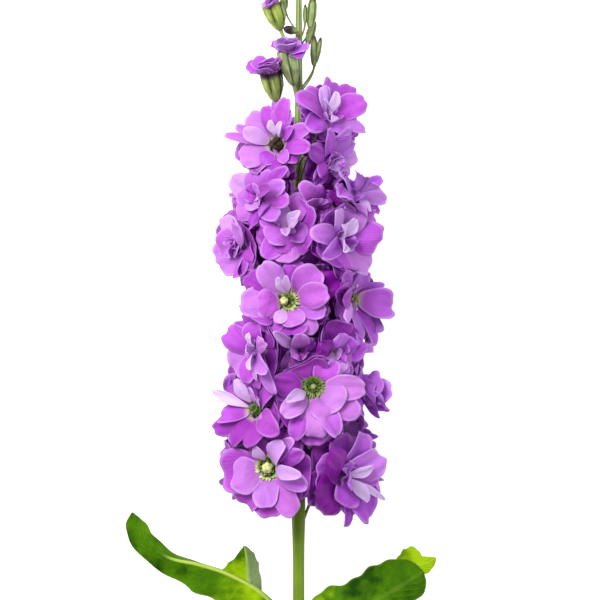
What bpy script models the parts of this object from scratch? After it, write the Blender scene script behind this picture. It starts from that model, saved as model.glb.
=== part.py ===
"""A cut stem of double-flowered stock, lying on a table.

The stem runs along +Y with its buds at the +Y end, and the table is the plane z = 0. The spike of
blooms rests on its lowest petals, and the stem sinks from the spike to its cut end on the table.
The origin is the middle of the bounding box, at table level. The unit is the metre.
"""

import math
from typing import NamedTuple

import bmesh
import bpy
import numpy as np
from mathutils import Matrix, Vector

MM = 0.001

# Driving dimensions
STEM_CUT_END = -200 * MM
STEM_APEX = 240 * MM
STEM_RADIUS_LOW = 2.7 * MM
STEM_RADIUS_HIGH = 0.7 * MM
STEM_STATIONS = 21
CUT_END_HEIGHT = 2.4 * MM
STEM_SIDEWAYS = -0.5 * MM
SPIKE_HEIGHT = 26.4 * MM
SPIKE_LEVEL_FROM = 100 * MM
STALK_RADIUS = 0.75 * MM
STALK_START_BELOW_CALYX = 8 * MM
CALYX_LENGTH = 10 * MM
CALYX_RADIUS = 2.5 * MM
PETAL_THICKNESS = 0.6 * MM
LEAF_THICKNESS = 0.7 * MM
LEAF_SQUARES_ALONG = 8
EYE_RADIUS = 3.3 * MM
EYE_TEETH = 4

# Where a bloom's petals and core start above its throat, and how deep the pit of an eye lies
CLEARANCE = 0.35 * MM
ROOT_RISE = 1.0 * MM
LAYER_RISE = 1.2 * MM
CORE_HEIGHT = 6 * MM
CORE_SIDES = 6
PIT_FLOOR = 1.3 * MM
PIT_HEIGHT = 11 * MM
WHORL_TWIST = 0.7
SHARP_FROM = math.radians(40)

# How petals of a whorl differ: shares of length and width, change of cup, end angle, and sway
PETAL_LENGTHS = (0.92, 1.06)
PETAL_WIDTHS = (0.92, 1.08)
CUP_CHANGE = 0.15
END_CHANGE = math.radians(12)
SWAY_SHARE = 0.14

# How petals keep clear: of the planes between neighbours, of the calyxes near them, and of the stem
FACE_RISE = 4 * MM
TUFT_FACE_RISE = 3 * MM
TUFT_SHARE = 1.4
NEIGHBOUR_REACH = 1.3
NEAR_CALYX = 30 * MM
CELL_GAP = 0.2 * MM
PLANE_KEEP_OUT = 0.54 * MM
CALYX_KEEP_OUT = 3.4 * MM
STEM_KEEP_OUT = 5.5 * MM
TABLE_KEEP_OUT = 0.24 * MM
LAYER_STEP = 1.2 * MM
SOFTNESS = 0.6 * MM
SLIDES = (0.8, 0.3, 0.0, 0.0)
FACE_PULL = 0.7

PETAL_COLOUR = (0.50, 0.14, 0.66, 1)
EYE_COLOUR = (0.42, 0.50, 0.10, 1)
STEM_COLOUR = (0.22, 0.36, 0.07, 1)
LEAF_COLOUR = (0.10, 0.27, 0.02, 1)


class Bloom(NamedTuple):
    """An open bloom, in millimetres and degrees.

    It stands at a height along the stem, and a bearing round it, where 0 is up and 90 is +X. Its throat
    lies reach away from the stem, and its face turns from the bearing and rises towards the tip.
    """

    along: float
    bearing: float
    reach: float
    turn: float
    rise: float
    radius: float
    eyed: bool = False


class HalfOpen(NamedTuple):
    """A half-open flower: its calyx, its tuft of petals, and where its stalk leaves the stem (mm).

    Base and top are places across the stem, along it, and above its middle.
    """

    base: tuple
    top: tuple
    mouth: float
    tuft: float
    start: float


class Bud(NamedTuple):
    """A closed bud, in the same terms (mm)."""

    base: tuple
    tip: tuple
    radius: float
    start: float


class Whorl(NamedTuple):
    """A ring of petals. Length and half width are shares of the bloom's radius.

    A petal leaves the face's axis at the angle start and ends at the angle end (degrees). Rows are
    the shares of its length where its mesh has a row.
    """

    petals: int
    length: float
    half_width: float
    start: float
    end: float
    cup: float
    rows: tuple


class Leaf(NamedTuple):
    """A blade: points of its midrib across, along, and above the table, half width and wave (mm).

    It rolls about the midrib from root to tip, and folds across it like a roof (degrees).
    """

    midrib: tuple
    half_width: float
    root_roll: float
    tip_roll: float
    fold: float
    wave: float


BLOOMS = {
    "bloom_low_right": Bloom(47, 40, 23, 6, -8, 18.4),
    "bloom_low_left": Bloom(50, -25, 24, -4, -2, 18.9, eyed=True),
    "bloom_mid_right": Bloom(79, 11, 25, 0, 10, 18.9, eyed=True),
    "bloom_mid_left": Bloom(71, -39, 24, -8, 14, 17.8, eyed=True),
    "bloom_rim_right_low": Bloom(77, 86, 21, 6, 4, 15.7),
    "bloom_left": Bloom(94, -34, 24, -12, 0, 17.8),
    "bloom_centre": Bloom(95, -2, 19, 10, -16, 15.7),
    "bloom_centre_right": Bloom(94, 35, 21, -4, -16, 16.2),
    "bloom_right": Bloom(114, 52, 23, 12, -8, 17.3, eyed=True),
    "bloom_heart": Bloom(112, -8, 25, 0, 0, 18.9, eyed=True),
    "bloom_rim_left": Bloom(110, -70, 20, -8, 0, 15.7),
    "bloom_inner_right": Bloom(124, 24, 18, 0, -12, 14.0),
    "bloom_upper_right": Bloom(135, 34, 24, 6, 5, 18.9),
    "bloom_upper_centre": Bloom(139, -9, 23, 0, 12, 16.7),
    "bloom_upper_left": Bloom(133, -64, 23, -2, -4, 16.2),
    "bloom_shoulder_left": Bloom(151, -38, 22, 0, 6, 15.7),
    "bloom_shoulder_inner": Bloom(147, 21, 17, 0, -8, 13.5),
    "bloom_shoulder_right": Bloom(151, 54, 22, 6, 30, 17.8),
    "bloom_crown_left": Bloom(170, -21, 21, -4, 12, 18.4, eyed=True),
    "bloom_crown_low": Bloom(165, 36, 17, 6, -12, 15.7),
    "bloom_crown_right": Bloom(180, 32, 18, 6, 24, 16.7),
    "bloom_under_a": Bloom(52, 112, 19, 0, 0, 17.8),
    "bloom_under_b": Bloom(54, -92, 19, 0, 0, 17.3),
    "bloom_under_c": Bloom(56, 170, 16, 0, -4, 18.4),
    "bloom_under_d": Bloom(82, -128, 17, 0, 0, 18.4),
    "bloom_under_e": Bloom(88, 144, 16, 0, 4, 18.4),
    "bloom_under_f": Bloom(108, 94, 20, 0, 4, 16.7),
    "bloom_under_g": Bloom(112, -168, 16, 0, 0, 18.4),
    "bloom_under_h": Bloom(136, -112, 18, 0, 6, 17.8),
    "bloom_under_i": Bloom(140, 130, 17, 0, 6, 18.4),
    "bloom_under_j": Bloom(164, 176, 16, 0, 8, 17.8),
}

LONG_ROWS = (0.0, 0.3, 0.7, 1.0)
SHORT_ROWS = (0.0, 0.36, 1.0)
OPEN_WHORLS = (
    Whorl(5, 1.12, 0.48, 34, 112, -0.08, LONG_ROWS),
    Whorl(4, 0.90, 0.42, 22, 74, 0.05, SHORT_ROWS),
)
EYED_WHORLS = (
    Whorl(5, 1.12, 0.50, 58, 108, -0.06, LONG_ROWS),
    Whorl(4, 0.84, 0.46, 50, 80, 0.05, SHORT_ROWS),
)
UNDER_WHORLS = (Whorl(5, 1.12, 0.49, 34, 104, 0.0, LONG_ROWS),)
TUFT_WHORLS = (Whorl(5, 1.25, 0.40, 24, 82, 0.1, LONG_ROWS),)

# Turned shapes: share of the height, and radius. A dish carries an eye in its pit.
KNOB = ((0.0, 2.2 * MM), (0.45, 2.9 * MM), (1.0, 1.6 * MM))
DISH = ((0.0, 2.6 * MM), (0.3, 4.8 * MM), (0.85, 5.8 * MM))
PIT = ((0.0, 2.2 * MM), (0.2, 3.7 * MM), (1.0, 4.2 * MM))

HALF_OPEN = {
    "tuft_front": HalfOpen((-2.7, 193, 4.5), (-4.4, 203, 7.0), 3.6, 8.6, 183),
    "tuft_left": HalfOpen((-9.0, 187, 2.5), (-12.2, 195.5, 4.5), 3.9, 9.6, 174),
    "tuft_top_left": HalfOpen((-7.4, 213, 1.0), (-11.2, 221.5, 2.5), 3.1, 5.4, 197),
}

BUDS = {
    "bud_right": Bud((5.7, 201.5, 3.0), (6.0, 212.5, 4.0), 1.8, 189),
    "bud_high_right": Bud((3.9, 216, 1.5), (5.4, 227.5, 2.5), 2.1, 207),
    "bud_high_left": Bud((-5.6, 223, 0.5), (-6.8, 231.5, 1.0), 1.6, 212),
    "bud_dark_left": Bud((-2.6, 212, 2.0), (-5.2, 214.5, 4.5), 1.8, 206),
    "bud_under_right": Bud((3.0, 210, -4.0), (5.5, 219, -7.0), 1.8, 200),
    "bud_under_left": Bud((-4.0, 203, -5.0), (-6.5, 212.5, -8.0), 2.0, 192),
    "bud_tip_a": Bud((1.8, 230, 1.0), (3.0, 238, 1.8), 1.5, 225),
    "bud_tip_b": Bud((-1.6, 234, 1.2), (-3.0, 241.5, 2.0), 1.3, 229),
    "bud_tip_c": Bud((0.4, 239, -1.5), (0.8, 245.5, -2.4), 1.2, 233),
    "bud_tip_d": Bud((-0.2, 240, 0.6), (0.2, 246.5, 1.0), 1.2, 237),
}

LEAVES = {
    "leaf_left": Leaf(
        ((-1, -14, 23), (-17, 2, 29), (-36, 12, 30), (-52, 17, 27), (-63.5, 32, 26)),
        half_width=8.5, root_roll=-12, tip_roll=-10, fold=48, wave=0.8,
    ),
    "leaf_left_small": Leaf(
        ((-1, -30, 21), (-8, -18, 15), (-16, -2, 12), (-20.5, 9, 13), (-22, 19.5, 17)),
        half_width=9.0, root_roll=10, tip_roll=25, fold=-30, wave=0.8,
    ),
    "leaf_right": Leaf(
        ((1, -16, 23), (13, -9, 27), (28, -1, 27), (42, 8, 23), (51.5, 15, 27)),
        half_width=11.5, root_roll=-6, tip_roll=-16, fold=14, wave=1.5,
    ),
    "leaf_over": Leaf(
        ((1, -72, 18), (4, -52, 27), (9, -36, 33), (15, -22, 33), (21, -10, 29)),
        half_width=9.0, root_roll=8, tip_roll=14, fold=-16, wave=1.2,
    ),
    "leaf_low_left": Leaf(
        ((-1, -57, 19), (-19, -42, 19), (-40, -33, 15), (-60, -30, 8), (-76, -33, 2.5)),
        half_width=9.5, root_roll=-8, tip_roll=0, fold=-14, wave=1.2,
    ),
    "leaf_low_right": Leaf(
        ((1, -84, 16), (17, -68, 17), (36, -56, 14), (55, -49, 8), (72, -48, 2.5)),
        half_width=9.5, root_roll=8, tip_roll=0, fold=-12, wave=1.2,
    ),
    "leaf_cut_left": Leaf(
        ((-1, -106, 13), (-16, -92, 15), (-34, -83, 12), (-52, -79, 6), (-67, -81, 2)),
        half_width=8.5, root_roll=-8, tip_roll=0, fold=-14, wave=1.0,
    ),
    "leaf_cut_right": Leaf(
        ((1, -132, 9), (13, -118, 12), (28, -108, 10), (43, -103, 5), (56, -104, 1.8)),
        half_width=7.5, root_roll=8, tip_roll=0, fold=-12, wave=1.0,
    ),
}


def clear_scene():
    for old in list(bpy.data.objects):
        bpy.data.objects.remove(old)


def collection(name):
    made = bpy.data.collections.new(name)
    bpy.context.scene.collection.children.link(made)
    return made


def material(name, colour, roughness):
    made = bpy.data.materials.new(name)
    made.use_nodes = True
    shader = made.node_tree.nodes["Principled BSDF"]
    shader.inputs["Base Color"].default_value = colour
    shader.inputs["Roughness"].default_value = roughness
    made.diffuse_color = colour
    return made


def object_from(bm, name, group):
    """A mesh object that holds bm, linked into group."""
    mesh = bpy.data.meshes.new(name)
    bm.to_mesh(mesh)
    bm.free()
    made = bpy.data.objects.new(name, mesh)
    group.objects.link(made)
    return made


def thicken(obj, thickness):
    """Gives an open surface its thickness. It is split into triangles first, alike on both faces."""
    bm = bmesh.new()
    bm.from_mesh(obj.data)
    bmesh.ops.triangulate(bm, faces=bm.faces)
    bm.to_mesh(obj.data)
    bm.free()
    solid = obj.modifiers.new("thickness", "SOLIDIFY")
    solid.thickness = thickness
    solid.offset = 0


def apply_modifiers(obj):
    bpy.context.view_layer.update()
    graph = bpy.context.evaluated_depsgraph_get()
    obj.data = bpy.data.meshes.new_from_object(obj.evaluated_get(graph))
    obj.modifiers.clear()


def boolean(obj, operation, other, crossing=False):
    """Adds a Boolean with another object, or with all objects of a collection.

    Surfaces that may cross themselves go to the exact solver, which sorts them out, and the others to
    the faster one.
    """
    modifier = obj.modifiers.new(operation.lower(), "BOOLEAN")
    modifier.operation = operation
    modifier.solver = "EXACT" if crossing else "MANIFOLD"
    modifier.use_self = crossing
    if isinstance(other, bpy.types.Collection):
        modifier.operand_type = "COLLECTION"
        modifier.collection = other
    else:
        modifier.object = other


def fuse(obj, others, crossing=False):
    """Joins a collection's objects into obj, and removes them."""
    boolean(obj, "UNION", others, crossing)
    apply_modifiers(obj)
    for other in list(others.objects):
        bpy.data.objects.remove(other)
    bpy.data.collections.remove(others)


def bodies_of(bm):
    """The connected bodies of a mesh, as sets of vertices."""
    unseen, bodies = set(bm.verts), []
    while unseen:
        front = [unseen.pop()]
        body = set(front)
        while front:
            vertex = front.pop()
            near = {edge.other_vert(vertex) for edge in vertex.link_edges} & unseen
            unseen -= near
            body |= near
            front.extend(near)
        bodies.append(body)
    return bodies


def signed_volume(body):
    """Positive for a solid, and negative for a hollow sealed inside one. The mesh is in triangles."""
    faces = {face for vertex in body for face in vertex.link_faces}
    return sum(face.calc_center_median().dot(face.normal) * face.calc_area() for face in faces) / 3


def keep_largest_body(obj):
    """Drops loose scraps and sealed hollows, so that one closed body is left."""
    bm = bmesh.new()
    bm.from_mesh(obj.data)
    bmesh.ops.triangulate(bm, faces=bm.faces)
    largest = max(bodies_of(bm), key=signed_volume)
    bmesh.ops.delete(bm, geom=[vertex for vertex in bm.verts if vertex not in largest], context="VERTS")
    bm.to_mesh(obj.data)
    bm.free()


def as_node(obj, origin, cutters, group):
    """Applies an object's Booleans, sets its origin, and moves it out of the cutters."""
    apply_modifiers(obj)
    keep_largest_body(obj)
    obj.data.transform(Matrix.Translation(-origin))
    obj.location = origin
    cutters.objects.unlink(obj)
    group.objects.link(obj)
    return obj


def finish(nodes, colour):
    """Gives nodes their material, and shades them smooth between sharp edges."""
    for node in nodes:
        node.data.shade_smooth()
        node.data.set_sharp_from_angle(angle=SHARP_FROM)
        node.data.materials.clear()
        node.data.materials.append(colour)


# The stem's own line
def stem_point(along, above=0.0):
    """The stem's middle: level through the spike, and a parabola down to the cut end."""
    share = min(1.0, (along - STEM_CUT_END) / (SPIKE_LEVEL_FROM - STEM_CUT_END))
    height = SPIKE_HEIGHT - (SPIKE_HEIGHT - CUT_END_HEIGHT) * (1 - share) ** 2
    return Vector((STEM_SIDEWAYS, along, height + above))


def stem_radius(along):
    """Even up to the spike, then tapering to the apex."""
    share = max(0.0, along / STEM_APEX)
    return STEM_RADIUS_LOW + (STEM_RADIUS_HIGH - STEM_RADIUS_LOW) * share**1.3


def out_of_stem(bearing):
    return Vector((math.sin(math.radians(bearing)), 0, math.cos(math.radians(bearing))))


def throat_and_face(bloom):
    """Where a bloom's petals start, and the direction that its face looks in."""
    throat = stem_point(bloom.along * MM) + out_of_stem(bloom.bearing) * bloom.reach * MM
    rise = math.radians(bloom.rise)
    face = out_of_stem(bloom.bearing + bloom.turn) * math.cos(rise) + Vector((0, math.sin(rise), 0))
    return throat, face


def by_the_stem(place):
    """A point given in millimetres across the stem, along it, and above its middle."""
    across, along, above = (value * MM for value in place)
    middle = stem_point(along, above)
    return Vector((across, middle.y, middle.z))


def frame_along(direction):
    """Two directions across a given one, and that one, as the columns of a matrix."""
    forward = direction.normalized()
    side = forward.cross(Vector((0, 1, 0)))
    if side.length < 0.2:
        side = forward.cross(Vector((0, 0, 1)))
    side.normalize()
    return Matrix((side, forward.cross(side), forward)).transposed()


# The green framework
def tube(name, points, radii, sides, group):
    """A closed tube along points, with its own radius at each point."""
    curve = bpy.data.curves.new(name, "CURVE")
    curve.dimensions = "3D"
    curve.bevel_depth = 1.0
    curve.bevel_resolution = sides // 2 - 2
    curve.use_fill_caps = True
    spline = curve.splines.new("POLY")
    spline.points.add(len(points) - 1)
    for target, point, radius in zip(spline.points, points, radii):
        target.co = (*point, 1)
        target.radius = radius
    guide = bpy.data.objects.new(name + "_line", curve)
    group.objects.link(guide)
    bpy.context.view_layer.update()
    graph = bpy.context.evaluated_depsgraph_get()
    mesh = bpy.data.meshes.new_from_object(guide.evaluated_get(graph))
    bpy.data.objects.remove(guide)
    bm = bmesh.new()
    bm.from_mesh(mesh)
    bmesh.ops.remove_doubles(bm, verts=bm.verts, dist=1e-6)
    bmesh.ops.recalc_face_normals(bm, faces=bm.faces)
    return object_from(bm, name, group)


def turned(name, base, tip, rings, sides, group):
    """A ball primitive whose rings are moved to (share of the height, radius) from base to tip."""
    bm = bmesh.new()
    bmesh.ops.create_uvsphere(bm, u_segments=sides, v_segments=len(rings) + 1, radius=1)
    profile = [(rings[0][0], 0.0), *rings, (rings[-1][0], 0.0)]
    frame = frame_along(tip - base)
    for vertex in bm.verts:
        up = math.acos(max(-1.0, min(1.0, -vertex.co.z)))
        share, radius = profile[round(up / math.pi * (len(rings) + 1))]
        bearing = math.atan2(vertex.co.y, vertex.co.x)
        place = (radius * math.cos(bearing), radius * math.sin(bearing), share * (tip - base).length)
        vertex.co = base + frame @ Vector(place)
    return object_from(bm, name, group)


def stalked(name, start_along, base, tip, profile, thicker, sides, group):
    """A stalk that leaves the stem's middle, bends into line with base and tip, and swells by profile.

    The profile gives (share of the way from base to tip, radius), and thicker is added to each radius.
    """
    start = stem_point(start_along)
    forward = (tip - base).normalized()
    bend = base - forward * (base - start).length * 0.35
    points = [start, bend] + [base.lerp(tip, share) for share, _ in profile]
    points[-1] = points[-1] + forward * thicker
    radii = [STALK_RADIUS, STALK_RADIUS] + [radius for _, radius in profile]
    tube(name, points, [radius + thicker for radius in radii], sides, group)


def bloom_calyx(name, bloom, thicker, group):
    throat, face = throat_and_face(bloom)
    base = throat - face * CALYX_LENGTH
    profile = ((0.1, 0.5 * CALYX_RADIUS), (0.6, CALYX_RADIUS), (1, CALYX_RADIUS))
    sides = 4 if "under" in name else 6
    start = base.y - STALK_START_BELOW_CALYX
    stalked(name + "_calyx", start, base, throat, profile, thicker, sides, group)


def half_open_calyx(name, flower, thicker, group):
    mouth = flower.mouth * MM
    profile = ((0, 0.4 * mouth), (0.4, 0.85 * mouth), (1, mouth))
    base, top = by_the_stem(flower.base), by_the_stem(flower.top)
    stalked(name + "_calyx", flower.start * MM, base, top, profile, thicker, 8, group)


def closed_bud(name, bud, thicker, group):
    radius = bud.radius * MM
    profile = ((0, 0.5 * radius), (0.35, radius), (0.75, 0.9 * radius), (1, 0.3 * radius))
    base, tip = by_the_stem(bud.base), by_the_stem(bud.tip)
    stalked(name, bud.start * MM, base, tip, profile, thicker, 6, group)


def green_framework(name, thicker, group):
    """Stem, stalks, calyxes and buds as one closed body, all thicker by the same amount."""
    stations = np.linspace(STEM_CUT_END, STEM_APEX, STEM_STATIONS)
    radii = [stem_radius(along) + thicker for along in stations]
    stem = tube(name, [stem_point(along) for along in stations], radii, 8, group)
    branches = collection(name + "_branches")
    for branch, bloom in BLOOMS.items():
        bloom_calyx(branch, bloom, thicker, branches)
    for branch, flower in HALF_OPEN.items():
        half_open_calyx(branch, flower, thicker, branches)
    for branch, bud in BUDS.items():
        closed_bud(branch, bud, thicker, branches)
    fuse(stem, branches)
    keep_largest_body(stem)
    return stem


# Cells: each flower keeps to its own side of the planes between it and its neighbours
def face_centres():
    """The middle of each flower's face, and its radius, which share out the room between them."""
    centres = {}
    for name, bloom in BLOOMS.items():
        throat, face = throat_and_face(bloom)
        centres[name] = (throat + face * FACE_RISE, bloom.radius * MM)
    for name, flower in HALF_OPEN.items():
        base, top = by_the_stem(flower.base), by_the_stem(flower.top)
        forward = (top - base).normalized()
        centres[name] = (top + forward * TUFT_FACE_RISE, TUFT_SHARE * flower.tuft * MM)
    return centres


def cell_planes(name, centres):
    """Planes, as a point and a direction out of the cell, between one flower and each near neighbour."""
    centre, radius = centres[name]
    planes = []
    for other, (place, other_radius) in centres.items():
        between = place - centre
        if other == name or between.length > NEIGHBOUR_REACH * (radius + other_radius):
            continue
        share = radius / (radius + other_radius)
        out = between.normalized()
        planes.append((centre + out * (between.length * share - CELL_GAP), out))
    return planes


def calyx_lines(throat):
    """The middle lines of the calyxes near a throat, from base to just under the throat."""
    lines = []
    for bloom in BLOOMS.values():
        end, face = throat_and_face(bloom)
        if (end - throat).length < NEAR_CALYX:
            lines.append((np.array(end - face * CALYX_LENGTH), np.array(end - face * 2 * MM)))
    return lines


def cell_solid(name, centre, planes, size, group):
    """A cube round the flower, cut by the cell's planes and by the table."""
    bm = bmesh.new()
    bmesh.ops.create_cube(bm, size=size, matrix=Matrix.Translation(centre))
    for place, out in [*planes, (Vector((0, 0, 0)), Vector((0, 0, -1)))]:
        everything = [*bm.verts, *bm.edges, *bm.faces]
        bmesh.ops.bisect_plane(bm, geom=everything, plane_co=place, plane_no=out, clear_outer=True)
        rim = [edge for edge in bm.edges if edge.is_boundary]
        if rim:
            bmesh.ops.edgeloop_fill(bm, edges=rim)
    bmesh.ops.recalc_face_normals(bm, faces=bm.faces)
    return object_from(bm, name, group)


# Bending petals clear
def soft_limit(distance, least):
    """Equal to distance well above least, and easing to least below it."""
    return least + SOFTNESS * np.logaddexp(0, (distance - least) / SOFTNESS)


def clear_of_line(points, start, end, least):
    """Points pushed straight away from a line, to least or more from it."""
    line = end - start
    share = np.clip((points - start) @ line / (line @ line), 0, 1)
    off = points - start - np.outer(share, line)
    distance = np.maximum(np.linalg.norm(off, axis=1), 1e-6)
    return points + off * (soft_limit(distance, least) / distance - 1)[:, None]


def clear_of_plane(points, place, out, throat, face, slide, least):
    """Points pushed back inside a plane, and slid along it away from the throat, by a share of the push.

    The slide also goes towards the open side of the bloom, so that a petal turns up and keeps its length.
    """
    inside = (place - points) @ out
    push = soft_limit(inside, least) - inside
    away = points - throat
    away += FACE_PULL * np.linalg.norm(away, axis=1)[:, None] * face
    away -= np.outer(away @ out, out)
    away /= np.maximum(np.linalg.norm(away, axis=1), 1e-6)[:, None]
    return points - np.outer(push, out) + away * (slide * push)[:, None]


def bend_clear(points, throat, face, planes, lines, layer):
    """Points of a whorl bent clear of its neighbours, the calyxes, the stem and the table.

    A higher layer stays further from the planes and the table, so that whorls don't meet there.
    """
    throat, face = np.array(throat), np.array(face)
    spare = layer * LAYER_STEP
    low, high = np.array(stem_point(SPIKE_LEVEL_FROM)), np.array(stem_point(STEM_APEX))
    low[1] = 0
    for slide in SLIDES:
        for start, end in lines:
            points = clear_of_line(points, start, end, CALYX_KEEP_OUT)
        for place, out in planes:
            place, out = np.array(place), np.array(out)
            points = clear_of_plane(points, place, out, throat, face, slide, PLANE_KEEP_OUT + spare)
        points = clear_of_line(points, low, high, STEM_KEEP_OUT)
        points[:, 2] = np.maximum(points[:, 2], TABLE_KEEP_OUT + spare)
    return points


# Petals
def petal_point(u, v, length, half_width, start, end, cup, sway):
    """Across, outward and forward place of a petal's point, from the middle of the throat.

    The midline leaves the root at angle start from the face's axis and turns evenly to angle end. The
    width swells from a narrow claw, the tip is rounded by shortening the sides, cup lifts the sides,
    and sway lifts one side and lowers the other.
    """
    v = v * (1 - 0.2 * u**2)
    turn = end - start
    angle = start + turn * v
    outward = length * (math.cos(start) - math.cos(angle)) / turn
    forward = length * (math.sin(angle) - math.sin(start)) / turn
    width = half_width * math.sin(0.5 * math.pi * min(1.0, v / 0.85)) ** 1.3
    lift = cup * half_width * u**2 + sway * u * v
    return u * width, outward - math.cos(angle) * lift, forward + math.sin(angle) * lift


def whorl_mesh(whorl, radius, first, rng):
    """A ring of petals in its own frame, as one open surface.

    Each petal is a grid primitive, moved to its shape. Up to its second row its sides meet the next
    petal's, and the grids are merged there.
    """
    length, start, end = whorl.length * radius, math.radians(whorl.start), math.radians(whorl.end)
    last = len(whorl.rows) - 1
    bm = bmesh.new()
    for index in range(whorl.petals):
        middle = first + 2 * math.pi * index / whorl.petals
        petal = {
            "length": length * rng.uniform(*PETAL_LENGTHS),
            "half_width": whorl.half_width * radius * rng.uniform(*PETAL_WIDTHS),
            "start": start,
            "end": end + rng.uniform(-END_CHANGE, END_CHANGE),
            "cup": whorl.cup + rng.uniform(-CUP_CHANGE, CUP_CHANGE),
            "sway": length * rng.uniform(-SWAY_SHARE, SWAY_SHARE),
        }
        made = bmesh.ops.create_grid(bm, x_segments=2, y_segments=last, size=1)
        for vertex in made["verts"]:
            u, row = round(vertex.co.x), round((vertex.co.y + 1) / 2 * last)
            if row < 2:
                bearing = middle + u * math.pi / whorl.petals
                across, out, forward = petal_point(0, whorl.rows[row], length, 0, start, end, 0, 0)
            else:
                bearing = middle
                across, out, forward = petal_point(u, whorl.rows[row], **petal)
            x = out * math.cos(bearing) - across * math.sin(bearing)
            y = out * math.sin(bearing) + across * math.cos(bearing)
            vertex.co = (x, y, forward)
    bmesh.ops.remove_doubles(bm, verts=bm.verts, dist=1e-6)
    bmesh.ops.dissolve_degenerate(bm, edges=bm.edges, dist=1e-6)
    return bm


def rosette(name, throat, face, radius, whorls, rings, seed, centres, group):
    """Whorls of petals, bent clear of the neighbours and fused to a core: one body inside its cell."""
    rng = np.random.default_rng(seed)
    frame = frame_along(face)
    planes, lines = cell_planes(name, centres), calyx_lines(throat)
    petals = collection(name + "_petals")
    seat = throat + face * CLEARANCE
    first = rng.uniform(0, 2 * math.pi)
    for layer, whorl in enumerate(whorls):
        bm = whorl_mesh(whorl, radius, first + layer * WHORL_TWIST, rng)
        root = seat + face * (ROOT_RISE + LAYER_RISE * layer)
        points = np.array([root + frame @ vertex.co for vertex in bm.verts])
        for vertex, point in zip(bm.verts, bend_clear(points, root, face, planes, lines, layer)):
            vertex.co = point
        thicken(object_from(bm, name + "_whorl", petals), PETAL_THICKNESS)
    core = turned(name, seat, seat + face * CORE_HEIGHT, rings, CORE_SIDES, group)
    pressed_together = whorls is UNDER_WHORLS
    fuse(core, petals, pressed_together)
    cell = cell_solid(name + "_cell", centres[name][0], planes, 5 * radius, group)
    boolean(core, "INTERSECT", cell)
    return core


def eye(name, seat, face, group):
    """A bud of unopened petals in the throat: a knob ringed by small teeth."""
    teeth = collection(name + "_teeth")
    frame = frame_along(face)
    foot = seat + face * 0.3 * EYE_RADIUS
    for index in range(EYE_TEETH):
        bearing = 2 * math.pi * index / EYE_TEETH
        side = frame @ Vector((math.cos(bearing), math.sin(bearing), 0))
        tip = foot + side * 0.8 * EYE_RADIUS + face * 0.9 * EYE_RADIUS
        tube(name + "_tooth", (foot, tip), (0.26 * EYE_RADIUS, 0.16 * EYE_RADIUS), 4, teeth)
    rings = ((0.0, 0.5 * EYE_RADIUS), (0.7, 0.52 * EYE_RADIUS))
    knob = turned(name, seat, seat + face * 1.35 * EYE_RADIUS, rings, 6, group)
    fuse(knob, teeth)
    return knob


# Leaves
def smooth_path(points, samples):
    """Places on a Catmull-Rom curve through points, and its heading there, as arrays."""
    knots = np.array([points[0], *points, points[-1]], float)
    knots[0] = 2 * knots[1] - knots[2]
    knots[-1] = 2 * knots[-2] - knots[-3]
    where = np.linspace(0, len(points) - 1, samples)
    step = np.minimum(where.astype(int), len(points) - 2)
    t = (where - step)[:, None]
    a, b, c, d = (knots[step + k] for k in range(4))
    path = b + 0.5 * t * (c - a + t * (2 * a - 5 * b + 4 * c - d + t * (3 * b - a - 3 * c + d)))
    heading = np.gradient(path, axis=0)
    return path, heading / np.linalg.norm(heading, axis=1)[:, None]


def leaf_blade(name, leaf, group):
    """A lance-shaped blade along its midrib, folded across it and waved along its edges."""
    bm = bmesh.new()
    bmesh.ops.create_grid(bm, x_segments=2, y_segments=LEAF_SQUARES_ALONG, size=1)
    path, heading = smooth_path(np.array(leaf.midrib) * MM, LEAF_SQUARES_ALONG + 1)
    side = np.cross(heading, (0, 0, 1))
    side /= np.linalg.norm(side, axis=1)[:, None]
    normal = np.cross(side, heading)
    fold = math.radians(leaf.fold)
    for vertex in bm.verts:
        u, v = vertex.co.x, (vertex.co.y + 1) / 2
        row = round(v * LEAF_SQUARES_ALONG)
        roll = math.radians(leaf.root_roll + (leaf.tip_roll - leaf.root_roll) * v)
        out = side[row] * math.cos(roll) + normal[row] * math.sin(roll)
        up = normal[row] * math.cos(roll) - side[row] * math.sin(roll)
        swell = math.sin(math.pi * min(1.0, v * 1.02) ** 1.35) ** 0.8
        width = leaf.half_width * MM * (0.22 + 0.78 * swell)
        ripple = leaf.wave * MM * math.sin(9 * v + 1.5 * u)
        rise = abs(u) * (ripple - width * math.sin(fold))
        vertex.co = path[row] + out * u * width * math.cos(fold) + up * rise
    for vertex in bm.verts:
        vertex.co.z = max(vertex.co.z, LEAF_THICKNESS / 2)
    blade = object_from(bm, name, group)
    thicken(blade, LEAF_THICKNESS)
    return blade


# The nodes
def bloom_node(name, bloom, seed, centres, green, group, cutters):
    """An open bloom, and the eye in its throat if that shows."""
    throat, face = throat_and_face(bloom)
    whorls = UNDER_WHORLS if "under" in name else OPEN_WHORLS
    if bloom.eyed:
        whorls = EYED_WHORLS
    rings = DISH if bloom.eyed else KNOB
    rose = rosette(name, throat, face, bloom.radius * MM, whorls, rings, seed, centres, cutters)
    boolean(rose, "DIFFERENCE", green)
    if not bloom.eyed:
        return [as_node(rose, throat, cutters, group)]
    floor = throat + face * PIT_FLOOR
    pit = turned(name + "_pit", floor, floor + face * PIT_HEIGHT, PIT, CORE_SIDES, cutters)
    boolean(rose, "DIFFERENCE", pit)
    seat = floor + face * CLEARANCE
    knob = eye(name.replace("bloom", "eye"), seat, face, cutters)
    return [as_node(rose, throat, cutters, group), as_node(knob, seat, cutters, group)]


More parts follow.
